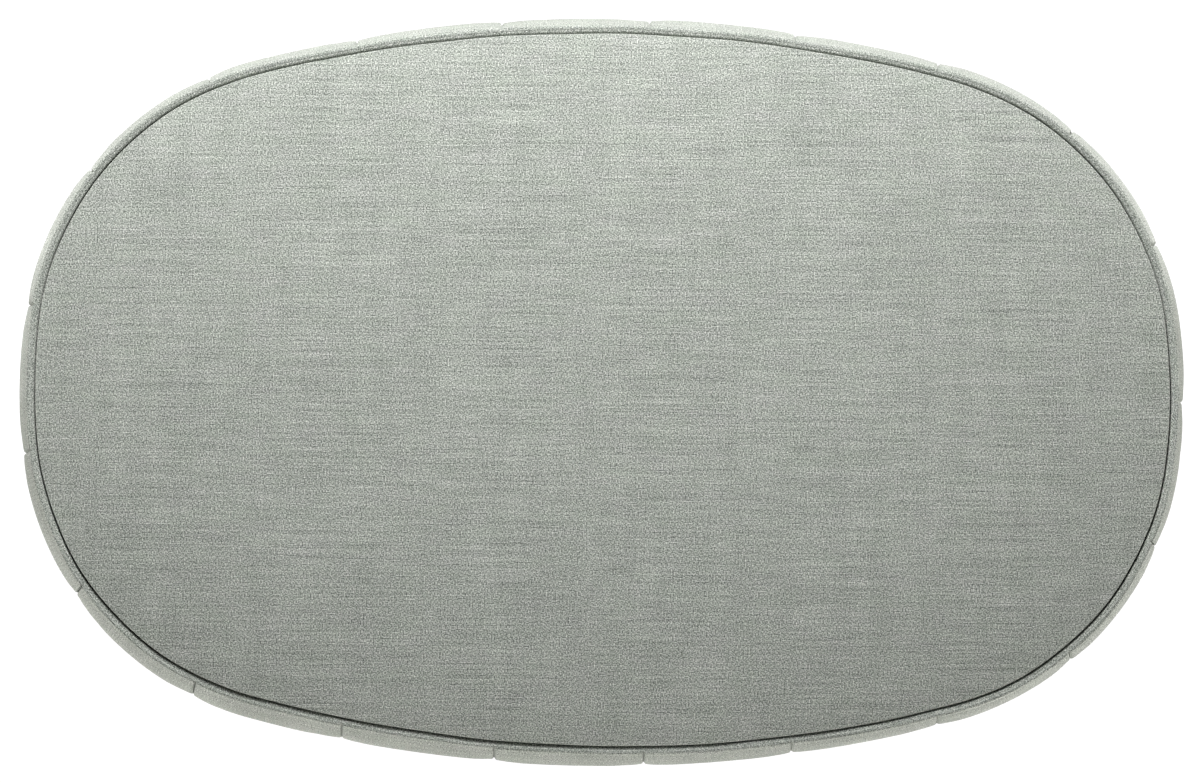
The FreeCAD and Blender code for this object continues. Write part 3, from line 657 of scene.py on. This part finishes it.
def spunbond(name, dark, light, pitch):
    """Spunbonded polypropylene: a thin fibre web with rows of small melted dots."""
    material, tree = new_material(name)
    place = add(tree, "ShaderNodeTexCoord").outputs["Object"]
    flat = add(tree, "ShaderNodeMapping", {"Vector": place, "Rotation": (0, 0, math.radians(45)),
                                           "Scale": (1, 1, 0)})
    dots = add(tree, "ShaderNodeTexVoronoi", {"Vector": flat, "Scale": 1 / pitch, "Randomness": 0.0},
               feature="F1")
    edge = add(tree, "ShaderNodeMapRange", {0: dots, 1: 0.16, 2: 0.3})
    fibres = add(tree, "ShaderNodeTexNoise", {"Vector": place, "Scale": 700.0, "Detail": 3.0})
    web = add(tree, "ShaderNodeMath", {0: edge, 1: fibres}, operation="MULTIPLY")
    colour = add(tree, "ShaderNodeValToRGB", {"Fac": web}, stops=((0.0, dark), (1.0, light)))
    surface(tree, colour, 0.7, web, 0.5, 0.0003)
    return material


under_cloth = spunbond("spunbonded_polypropylene", "#2B2C2D", "#4C4E50", 0.0022)

# %% Wadding, foams and the cloth over the webbing
WADDING_Z, TOP_FOAM_INSET = 0.3864, 0.0313
PLATFORM_TOP_Z, PLATFORM_INSET = 0.3324, 0.040
EDGE_CLEAR = SLOT + 0.0027
GAP = 0.0001
THIN_EDGE, THIN_FROM, THIN_REACH = 0.0016, 0.0177, 0.006


def under_the_cover(x, y):
    """The wadding's upper face: just under the cloth, and thinner where the cloth turns down."""
    thinner = THIN_EDGE * np.clip(1 - (inset_of(x, y) - THIN_FROM) / THIN_REACH, 0, 1) ** 2
    return np.maximum(top_height(x, y) - CLOTH - GAP - thinner, WADDING_Z + 4 * GAP)


pad = disc_piece("top_wadding_pad", CREASE_INSET + EDGE_CLEAR, under_the_cover, level(WADDING_Z + GAP),
                 wadding, rows=40, wander=1.0)
dressed(pad, "top_wadding")
slab = disc_piece("top_foam_slab", TOP_FOAM_INSET, level(WADDING_Z), level(PLATFORM_TOP_Z), foam,
                  rows=10, rounding=0.003, edge_gap=0.001)
dressed(slab, "top_foam")
sling = disc_piece("platform_sheet", PLATFORM_INSET, level(PLATFORM_TOP_Z), level(PLATFORM_TOP_Z - CLOTH),
                   under_cloth, rows=10)
dressed(sling, "platform_cloth")

# %% [markdown]
# ## The section of a side panel
# Going up from the underside, each panel's cloth starts at its stapled hem,
# comes out along the bottom, rounds the lower edge, climbs the wall, leans in
# again at the top and folds over a small lip against the piping. The section
# is worked out once as pairs of points, one on the face and one on the back.


# %% Rows of the side section: (inset, height) on the face and on the back
def tuck_arc(inset, level_z, upwards, layer, stop_z, count):
    """Points of the arc that leans the wall in by an inset over the tuck's height."""
    radius = (inset**2 + TUCK**2) / (2 * inset)
    end = math.asin((stop_z - level_z) * (1 if upwards else -1) / (radius - layer))
    sign = 1 if upwards else -1
    return [(radius - (radius - layer) * math.cos(a), level_z + sign * (radius - layer) * math.sin(a))
            for a in np.linspace(0, end, count)]


LOW_Z, HIGH_Z = HEM_Z + TUCK, LIP_Z - TUCK
LIP_X, LIP_CENTRE_Z, LIP_OUT, LIP_UP = 0.0105, 0.3883, 0.0021, 0.0021
PIPING_RISE, HUG = 0.0004, 0.00003
HEM_ROWS, LOW_ROWS, WALL_ROWS, HIGH_ROWS = 7, 11, 40, 14
face_rows = [(x, HEM_Z) for x in np.linspace(HEM_INSET, 0.0125, HEM_ROWS)]
back_rows = [(x, HEM_Z + CLOTH) for x in np.linspace(HEM_INSET, 0.0175, HEM_ROWS)]
face_rows += tuck_arc(LOW_TUCK_INSET, LOW_Z, False, 0.0, HEM_Z + 0.0008, LOW_ROWS)[::-1]
back_rows += tuck_arc(LOW_TUCK_INSET, LOW_Z, False, PANEL_T, HEM_Z + CLOTH, LOW_ROWS)[::-1]
wall = np.linspace(LOW_Z, HIGH_Z, WALL_ROWS)[1:-1]
face_rows += [(0.0, z) for z in wall]
back_rows += [(PANEL_T, z) for z in wall]
face_rows += tuck_arc(HIGH_TUCK_INSET, HIGH_Z, True, 0.0, LIP_CENTRE_Z - 0.0004, HIGH_ROWS)
back_rows += tuck_arc(HIGH_TUCK_INSET, HIGH_Z, True, PANEL_T, SEAM_Z - CLOTH, HIGH_ROWS)
end_of_back = back_rows[-1][0]
lip = [(LIP_X + LIP_OUT * math.cos(a), LIP_CENTRE_Z + LIP_UP * math.sin(a))
       for a in np.radians([165, 145, 125, 107, 90])]
lip += [(LIP_X + step, LIP_CENTRE_Z + LIP_UP - fall)
        for step, fall in ((0.0006, 0.00004), (0.0012, 0.00016), (0.0017, 0.00032))]
lip += [(CREASE_INSET - WELT_RADIUS + (WELT_RADIUS + HUG) * math.cos(a),
         CREASE_Z + PIPING_RISE + (WELT_RADIUS + HUG) * math.sin(a))
        for a in np.radians([100, 125, 150, 175, 200, 220])]
for step, corner in enumerate(lip):
    face_rows.append(corner)
    back_rows.append((end_of_back + 0.0002 * (step + 1), SEAM_Z - CLOTH))
for x in (0.0125, 0.020, ALLOWANCE_INSET):
    face_rows.append((x, SEAM_Z))
    back_rows.append((x + 0.0005 * (x == 0.0125), SEAM_Z - CLOTH))
face_rows, back_rows = np.array(face_rows), np.array(back_rows)
run = np.concatenate([[0], np.cumsum(np.linalg.norm(np.diff(face_rows, axis=0), axis=1))])
slope = np.gradient(face_rows, axis=0)
slope /= np.linalg.norm(slope, axis=1)[:, None]
face_normal = np.stack([-slope[:, 1], slope[:, 0]], 1)
hem_end, lip_start = HEM_ROWS, HEM_ROWS + LOW_ROWS + len(wall) + HIGH_ROWS
seam_fade = np.ones(len(run))
seam_fade[:hem_end] = 0.12
seam_fade[hem_end:hem_end + 3] = (0.3, 0.6, 0.85)
seam_fade[lip_start:] = 0.0
seam_fade[lip_start:lip_start + 6] = (0.9, 0.8, 0.65, 0.45, 0.25, 0.1)
follow = np.zeros(len(run))
follow[lip_start - 10:lip_start] = np.linspace(0, 1, 10)
follow[lip_start:] = 1.0
follow[-2:] = 0.0
print("side section", len(run), "rows,", round(run[-1], 3), "m of cloth")

# %% [markdown]
# ## Twenty-one padded side panels
# The panels are sewn edge to edge with plain seams, and each swells a little
# between them. A simulated sheet gives every panel its own swell and puckers.
# The seam itself is added after that: the cloth is drawn in to a narrow, sharp
# valley. Neighbours differ by fractions of a millimetre, which makes the small
# steps in the outline that the photograph shows.

# %% Side panels
SEAM_REACH, SEAM_POWER = 0.0024, 2.6
DIP, DIP_REACH = 0.0004, 0.012
SEAM_SHIFT_MM = (-7, 3, -3, -1, -4, -7, -8, -11, -8, -6, -5, -6, -5, 0, 4, 7, 6, 4, 2, 2, -5)
seam_places = np.arange(PANELS) * PANEL_WIDTH + np.array(SEAM_SHIFT_MM) / 1000
seam_places = np.append(seam_places, seam_places[0] + PERIMETER)
PANEL_SWELL = 0.0012
fine = np.array([0, 0.0003, 0.0006, 0.0010, 0.0015, 0.0022, 0.0034, 0.0052, 0.0075, 0.0105])
across = np.concatenate([fine, np.linspace(0.0155, PANEL_WIDTH - 0.0155, 21), PANEL_WIDTH - fine[::-1]])
low_run, high_run = run[hem_end], run[lip_start]


def sewn_down(u, v):
    """True along a panel's four edges, where seams and hem hold it."""
    edge = 1e-6
    return (u < edge) | (u > PANEL_WIDTH - edge) | (v < edge) | (v > high_run - low_run - edge)


panel_dice = np.random.default_rng(21)
for number in range(1, PANELS + 1):
    pillow = swell(PANEL_WIDTH, high_run - low_run, 0.0065, 300 + number, 2.2, 0.018, sewn_down, 0.006)
    top_of_pillow = max(1e-9, float(np.abs(pillow).max()))
    u, v = np.meshgrid(across, run)
    soft = read_heights(pillow / top_of_pillow, PANEL_WIDTH, high_run - low_run, u,
                        np.clip(v - low_run, 0, high_run - low_run))
    inside = np.where((v >= low_run) & (v <= high_run), 1.0, 0.0)
    near = np.minimum(u, PANEL_WIDTH - u)
    valley = (SEAM_DEPTH * np.clip(1 - near / SEAM_REACH, 0, 1) ** SEAM_POWER
              + DIP * np.clip(1 - near / DIP_REACH, 0, 1) ** 2)
    stand = (panel_dice.uniform(-0.0004, 0.0004)
             + panel_dice.uniform(-0.0007, 0.0007) * (u / PANEL_WIDTH - 0.5)) * inside
    offset = PANEL_SWELL * soft * inside - valley * seam_fade[:, None] + stand
    along = seam_places[number - 1] + u * (seam_places[number] - seam_places[number - 1]) / PANEL_WIDTH
    place, outward = on_outline(along)
    moved = wander_at(along) * follow[:, None]
    inset = face_rows[:, 0][:, None] + offset * face_normal[:, 0][:, None] + moved
    height = face_rows[:, 1][:, None] + offset * face_normal[:, 1][:, None]
    outer = np.concatenate([place - outward * inset[..., None], height[..., None]], -1)
    back_inset = np.broadcast_to(back_rows[:, 0][:, None], inset.shape)
    back_height = np.broadcast_to(back_rows[:, 1][:, None], inset.shape)
    inner = np.concatenate([place - outward * back_inset[..., None], back_height[..., None]], -1)
    panel = slab_piece(f"side_panel_{number:02d}_padding", outer, inner,
                       np.stack([along, v + 0.37 * number], -1), cover_cloth)
    dressed(panel, f"side_panel_{number:02d}")
print(PANELS, "side panels,", len(panel.data.polygons), "faces each")

# %% [markdown]
# ## Side foam, piping and its cord
# A foam strip pads the wall behind the panels. The piping is a strip of the
# cover cloth, cut on the bias so that it bends without creases, folded round a
# cotton cord and sewn into the seam with both of its edges. Its copy of the
# cloth's material is a touch darker in its middle tone: painted shade.

# %% Foam strip round the wall
FOAM_BACK_INSET, FOAM_LOW_Z, FOAM_TOP_Z = 0.031, 0.059, 0.3834
foam_section = [(FOAM_BACK_INSET, FOAM_LOW_Z + GAP)]
foam_section += tuck_arc(LOW_TUCK_INSET, LOW_Z, False, PANEL_T + GAP, FOAM_LOW_Z + GAP, 8)[::-1]
foam_section += [(PANEL_T + GAP, z) for z in np.linspace(LOW_Z, HIGH_Z, 12)[1:-1]]
foam_section += tuck_arc(HIGH_TUCK_INSET, HIGH_Z, True, PANEL_T + GAP, FOAM_TOP_Z - GAP, 8)
foam_section += [(FOAM_BACK_INSET, FOAM_TOP_Z - GAP)]
foam_section += [(FOAM_BACK_INSET, z) for z in np.linspace(FOAM_TOP_Z, FOAM_LOW_Z, 12)[1:-1]]
strip = swept_ring("side_foam_strip", foam_section, foam)
dressed(strip, "side_foam")

# %% Piping round the top
WELT_INSET = CREASE_INSET - WELT_RADIUS
CORD_RADIUS = WELT_RADIUS - CLOTH
PIPING_Z = CREASE_Z + PIPING_RISE
SLIT_Z, SLIT = SEAM_Z + CLOTH / 2, 0.00003


def circle_at(radius, start, stop, count):
    """Points round the piping's middle, from one angle to another in degrees."""
    return [(WELT_INSET + radius * math.cos(a), PIPING_Z + radius * math.sin(a))
            for a in np.radians(np.linspace(start, stop, count))]


meet = math.degrees(math.asin((SEAM_Z + CLOTH - PIPING_Z) / WELT_RADIUS))
strip_section = [(ALLOWANCE_INSET, SEAM_Z + CLOTH), (0.020, SEAM_Z + CLOTH)]
strip_section += circle_at(WELT_RADIUS, meet, 254, 22)
strip_section += [(0.020, SEAM_Z), (ALLOWANCE_INSET, SEAM_Z), (ALLOWANCE_INSET, SLIT_Z - SLIT),
                  (0.0142, SLIT_Z - SLIT)]
strip_section += circle_at(CORD_RADIUS + 0.00003, 262, -40, 14)
strip_section += [(0.0144, SLIT_Z + SLIT), (ALLOWANCE_INSET, SLIT_Z + SLIT)]
piping = swept_ring("piping_strip", strip_section, piping_cloth_bias_cut_and_painted_shade, COLUMNS, wander=1.0)
dressed(piping, "welt_cover")
cord_ring = swept_ring("piping_cord", circle_at(CORD_RADIUS, 0, 330, 12), piping_yarn, 360, wander=1.0)
dressed(cord_ring, "welt_cord")

# %% [markdown]
# ## Webbing under the seat
# Six bands of elastic webbing are stretched across the box and stapled to the
# upper ring. Each is a woven band with firm edges. A plain slab with a slightly
# thicker selvedge is enough, because the weave is in its material.


# %% Webbing
def webbing_weave(name, base, stripe, pitch=0.003):
    """Woven rubber-cored webbing: a ribbed band; the ribs are drawn at their real 3 mm."""
    material, tree = new_material(name)
    flat = add(tree, "ShaderNodeUVMap", uv_map="cloth")
    ribs = add(tree, "ShaderNodeTexWave", {"Vector": flat, "Scale": 0.1 / pitch, "Distortion": 0.4,
                                           "Detail": 1.0}, bands_direction="Y").outputs["Fac"]
    cross = add(tree, "ShaderNodeTexWave", {"Vector": flat, "Scale": 0.2 / pitch},
                bands_direction="X").outputs["Fac"]
    weave = add(tree, "ShaderNodeMath", {0: ribs, 1: cross}, operation="MAXIMUM")
    across = add(tree, "ShaderNodeSeparateXYZ", {0: flat})
    bands = add(tree, "ShaderNodeMath", {0: across, 1: 0.02}, operation="PINGPONG")
    line = add(tree, "ShaderNodeMapRange", {0: bands, 1: 0.0165, 2: 0.0170})
    colour = add(tree, "ShaderNodeMix", {0: line, 6: linear(base), 7: linear(stripe)}, data_type="RGBA")
    # Multiplying by the weave darkens the colour between the ribs: painted shade in the grooves.
    shaded = add(tree, "ShaderNodeMix", {0: 0.5, 6: colour.outputs[2], 7: weave}, data_type="RGBA",
                 blend_type="MULTIPLY")
    surface(tree, shaded.outputs[2], 0.75, weave, 0.6, 0.0004)
    return material


webbing = webbing_weave("woven_elastic_webbing", "#D9D2BF", "#4A4F55")
SELVEDGE = 0.0002
for number in range(1, 7):
    low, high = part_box(f"webbing_strap_{number}")
    xs = np.linspace(low[0], high[0], 17)
    ys = np.linspace(low[1], high[1], 40)
    gx, gy = np.meshgrid(xs, ys)
    rib = SELVEDGE * (1 - np.clip(np.minimum(gx - low[0], high[0] - gx) / 0.006, 0, 1))
    upper = np.stack([gx, gy, np.full(gx.shape, high[2]) - SELVEDGE + rib], -1)
    lower = np.stack([gx, gy, np.full(gx.shape, low[2]) + SELVEDGE - rib], -1)
    band = slab_piece(f"webbing_band_{number}", upper, lower, np.stack([gx - low[0], gy], -1), webbing)
    dressed(band, f"webbing_strap_{number}")

# %% [markdown]
# ## The dust cover
# A thin dark sheet closes the underside. It is stapled over the cover's hem
# along its edge, held at the four feet, and sags a little between them. The
# same simulation finds the sag. Its edge is folded under once, which shows as
# a band of double thickness.

# %% Dust cover
DUST_INSET, DUST_TOP_Z, DUST_SHEET, DUST_FOLD = 0.0346, 0.058, 0.0005, 0.014
DUST_SAG, DUST_TUCK, FOOT_HOLD = 0.0024, 0.0004, 0.030
HOLE_RADIUS, DRILL_LENGTH = 0.0045, 0.02
FEET = [tuple(sum(pair) / 2 for pair in zip(*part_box(f"foot_{name}")))[:2]
        for name in ("rear_right", "rear_left", "front_left", "front_right")]


def held_down(x, y):
    """True where the dust cover is stapled or lies on a foot."""
    held = inset_of(x, y) < DUST_INSET + 0.008
    for fx, fy in FEET:
        held |= np.hypot(x - fx, y - fy) < FOOT_HOLD
    return held


sag = swell(LENGTH, WIDTH, 0.0125, 77, 1.2, 0.004,
            lambda u, v: held_down(u - LENGTH / 2, v - WIDTH / 2), 0.02)
sag = sag * (DUST_SAG / max(1e-9, float(np.abs(sag).max())))


def dust_height(x, y):
    """The dust cover's lower face: level where it is held, sagging between."""
    down = np.abs(read_heights(sag, LENGTH, WIDTH, x + LENGTH / 2, y + WIDTH / 2))
    return DUST_TOP_Z - 0.0010 - down + DUST_TUCK * (inset_of(x, y) > DUST_INSET + DUST_FOLD)


def dust_upper(x, y):
    """Its upper face: one sheet higher, and a little more where the edge is folded under."""
    return dust_height(x, y) + DUST_SHEET + DUST_TUCK * (inset_of(x, y) <= DUST_INSET + DUST_FOLD)


dust = disc_piece("dust_cover_sheet", DUST_INSET, dust_upper, dust_height, under_cloth, rows=44)
for fx, fy in FEET:
    drill = bmesh.new()
    bmesh.ops.create_cone(drill, cap_ends=True, segments=24, radius1=HOLE_RADIUS, radius2=HOLE_RADIUS,
                          depth=DRILL_LENGTH, matrix=Matrix.Translation((fx, fy, DUST_TOP_Z)))
    tool_mesh = bpy.data.meshes.new("drill")
    drill.to_mesh(tool_mesh)
    drill.free()
    tool = in_scene("drill", tool_mesh)
    hole = dust.modifiers.new("hole", "BOOLEAN")
    hole.operation, hole.object, hole.solver = "DIFFERENCE", tool, "EXACT"
    drilled = bpy.data.meshes.new_from_object(dust.evaluated_get(bpy.context.evaluated_depsgraph_get()))
    dust.modifiers.clear()
    dust.data = drilled
    bpy.data.objects.remove(tool)
dressed(dust, "dust_cover")

# %% [markdown]
# ## Stitches in the side seams
# A lockstitch closes each side seam. Its thread shows only deep in the valley,
# as a row of short slanting stitches. Geometry Nodes suit this: a line down
# each seam is resampled at the stitch length, and one small capsule is set on
# every point, turned along the line.

# %% Thread
# Spun polyester: a matt yarn; the slanting light and dark bands along its twist are painted shade of the
# twisted strands.
thread, tree = new_material("spun_polyester_thread")
twist = add(tree, "ShaderNodeTexWave", {"Vector": add(tree, "ShaderNodeTexCoord").outputs["Object"],
                                        "Scale": 400.0, "Distortion": 2.0}, bands_direction="DIAGONAL")
strand = add(tree, "ShaderNodeValToRGB", {"Fac": twist.outputs["Fac"]},
             stops=((0.0, "#757C75"), (1.0, "#A9AEA6")))
surface(tree, strand, 0.55, Sheen_Weight=0.2)

# %% Stitches by Geometry Nodes
STITCH_PITCH, STITCH_LENGTH, STITCH_RADIUS, STITCH_PROUD = 0.0040, 0.0030, 0.00032, 0.0004
group = bpy.data.node_groups.new("lockstitch_row", "GeometryNodeTree")
group.interface.new_socket("Lines", in_out="INPUT", socket_type="NodeSocketGeometry")
settings = {"Pitch": STITCH_PITCH, "Length": STITCH_LENGTH, "Radius": STITCH_RADIUS, "Thread": thread}
sockets = {}
for label in settings:
    kind = "NodeSocketMaterial" if label == "Thread" else "NodeSocketFloat"
    sockets[label] = group.interface.new_socket(label, in_out="INPUT", socket_type=kind).identifier
group.interface.new_socket("Stitches", in_out="OUTPUT", socket_type="NodeSocketGeometry")
given = add(group, "NodeGroupInput").outputs
curve = add(group, "GeometryNodeMeshToCurve", {0: given["Lines"]})
points = add(group, "GeometryNodeResampleCurve", {"Curve": curve, "Length": given["Pitch"]},
             mode="LENGTH")
capsule = add(group, "GeometryNodeMeshCylinder", {"Vertices": 6, "Side Segments": 1,
                                                  "Radius": given["Radius"], "Depth": given["Length"]})
tangent = add(group, "GeometryNodeInputTangent")
aim_it = add(group, "FunctionNodeAlignEulerToVector", {"Vector": tangent}, axis="Z")
slant = add(group, "FunctionNodeRandomValue", {0: (0.05, -0.06, 0), 1: (0.22, 0.06, 0), "Seed": 4},
            data_type="FLOAT_VECTOR")
turned_by = add(group, "FunctionNodeRotateEuler", {0: aim_it, 1: slant}, space="LOCAL")
placed = add(group, "GeometryNodeInstanceOnPoints", {"Points": points, "Instance": capsule,
                                                     "Rotation": turned_by})
real = add(group, "GeometryNodeRealizeInstances", {0: placed})
finished = add(group, "GeometryNodeSetMaterial", {"Geometry": real, "Material": given["Thread"]})
add(group, "NodeGroupOutput", {0: finished})

verts, lines = [], []
seam_rows = range(hem_end + 2, lip_start + 1)
for number in range(PANELS):
    place, outward = on_outline(seam_places[number:number + 1])
    for order, row in enumerate(seam_rows):
        depth = SEAM_DEPTH * seam_fade[row] - STITCH_PROUD
        inset, height = face_rows[row] - depth * face_normal[row]
        if order:
            lines.append((len(verts) - 1, len(verts)))
        verts.append((*(place[0] - outward[0] * inset), height))
line_mesh = bpy.data.meshes.new("seam_lines")
line_mesh.from_pydata(verts, lines, [])
stitches = in_scene("side_seam_stitches", line_mesh)
rows_of_thread = stitches.modifiers.new("stitches", "NODES")
rows_of_thread.node_group = group
for label, value in settings.items():
    rows_of_thread[sockets[label]] = value
sewn = bpy.data.meshes.new_from_object(stitches.evaluated_get(bpy.context.evaluated_depsgraph_get()))
stitches.modifiers.clear()
stitches.data = sewn
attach(stitches, "root")
print("stitches", len(sewn.polygons), "faces")

# %% [markdown]
# ## Wood, steel and felt
# The frame inside is plywood and pine, the feet are turned beech, the pads are
# wool felt and the hardware is plated steel. These shapes are right as they
# are in the solid model, so they stay, and only their finish is made here.


# %% Materials of the frame
def wood(name, dark, light, grain, ring, rough, along=(1, 1, 1), coat=0.0):
    """Sawn or turned wood: long fibres and slow growth bands; along stretches the grain."""
    material, tree = new_material(name)
    place = add(tree, "ShaderNodeMapping", {"Vector": add(tree, "ShaderNodeTexCoord").outputs["Object"],
                                            "Scale": along})
    fibres = add(tree, "ShaderNodeTexNoise", {"Vector": place, "Scale": 1 / grain, "Detail": 5.0,
                                              "Roughness": 0.65})
    bands = add(tree, "ShaderNodeTexNoise", {"Vector": place, "Scale": 1 / ring, "Detail": 2.0,
                                             "Distortion": 0.6})
    half = add(tree, "ShaderNodeMath", {0: bands, 1: 0.5}, operation="MULTIPLY")
    total = add(tree, "ShaderNodeMath", {0: fibres, 1: 0.5, 2: half}, operation="MULTIPLY_ADD")
    colour = add(tree, "ShaderNodeValToRGB", {"Fac": total}, stops=((0.36, dark), (0.64, light)))
    surface(tree, colour, rough, total, 0.3, 0.0003, Coat_Weight=coat, Coat_Roughness=0.3)
    return material


def plywood(name, face, glue, ply):
    """Birch plywood: plies of one thickness, light and slightly darker in turn up its edge."""
    material, tree = new_material(name)
    place = add(tree, "ShaderNodeTexCoord").outputs["Object"]
    height = add(tree, "ShaderNodeSeparateXYZ", {0: place}).outputs[2]
    fold = add(tree, "ShaderNodeMath", {0: height, 1: ply}, operation="PINGPONG")
    turn = add(tree, "ShaderNodeMapRange", {0: fold, 1: 0.42 * ply, 2: 0.58 * ply})
    long_way = add(tree, "ShaderNodeMapping", {"Vector": place, "Scale": (1, 8, 8)})
    grain = add(tree, "ShaderNodeTexNoise", {"Vector": long_way, "Scale": 60.0, "Detail": 5.0})
    veneer = add(tree, "ShaderNodeMath", {0: turn, 1: 0.6, 2: grain}, operation="MULTIPLY_ADD")
    colour = add(tree, "ShaderNodeValToRGB", {"Fac": veneer}, stops=((0.3, face), (1.2, glue)))
    surface(tree, colour, 0.6, grain, 0.25, 0.0002)
    return material


def plated(name, colour, rough):
    """Zinc-plated steel: a bright grey metal with faint cloudy wear."""
    material, tree = new_material(name)
    cloud = add(tree, "ShaderNodeTexNoise", {"Vector": add(tree, "ShaderNodeTexCoord").outputs["Object"],
                                             "Scale": 350.0, "Detail": 3.0})
    spread = add(tree, "ShaderNodeMapRange", {0: cloud, 3: rough - 0.08, 4: rough + 0.1})
    tone = add(tree, "ShaderNodeMix", {0: cloud, 6: linear(colour), 7: linear("#D8D9DA")},
               data_type="RGBA")
    surface(tree, tone.outputs[2], spread, Metallic=1.0)
    return material


# Beech, turned and oiled: warm tan with short dark flecks running down the foot.
beech = wood("turned_oiled_beech", "#A9794B", "#D2A676", 0.0016, 0.012, 0.42, (1, 1, 0.16), coat=0.15)
# Pine, sawn: pale yellow with grain that runs up the posts.
pine = wood("sawn_pine", "#CFAE78", "#E9D2A2", 0.0025, 0.018, 0.7, (1, 1, 0.07))
# The centre stretcher is the same pine, with its grain running across the box.
pine_across = wood("sawn_pine_grain_across", "#CFAE78", "#E9D2A2", 0.0025, 0.018, 0.7, (1, 0.07, 1))
# Bending plywood: a thin sheet whose outer veneer has its grain upright.
bending_ply = wood("bending_plywood", "#B98F62", "#D9B68A", 0.0020, 0.03, 0.75, (1, 1, 0.05))
birch_ply = plywood("birch_plywood", "#E3CBA0", "#B08A5C", 0.0028)
zinc = plated("zinc_plated_steel", "#B9BCC0", 0.34)
wire = plated("galvanised_wire", "#A9ACAF", 0.42)
# Wool felt: matted dark grey fibres with no gloss.
felt = soft_finish("pressed_wool_felt", "#3A3A39", "#5A5957", 900.0, 1.0, 0.0005, sheen=0.5)

# A finish goes to the nodes whose names start with its key; the last key that fits counts.
FINISHES = {"foot_": beech, "foot_bolts": zinc, "foot_blocks": birch_ply, "felt_pads": felt,
            "tee_nuts": zinc, "frame_screws": zinc, "base_ring": birch_ply, "top_ring": birch_ply,
            "frame_post": pine, "centre_stretcher": pine_across, "side_board": bending_ply,
            "webbing_staples": wire, "underside_staples": wire}
given_finish = 0
for name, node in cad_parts.items():
    fitting = [finish for key, finish in FINISHES.items() if name.startswith(key)]
    if fitting:
        given_finish += 1
        node.data.materials.clear()
        node.data.materials.append(fitting[-1])
print("CAD nodes with a finish:", given_finish)
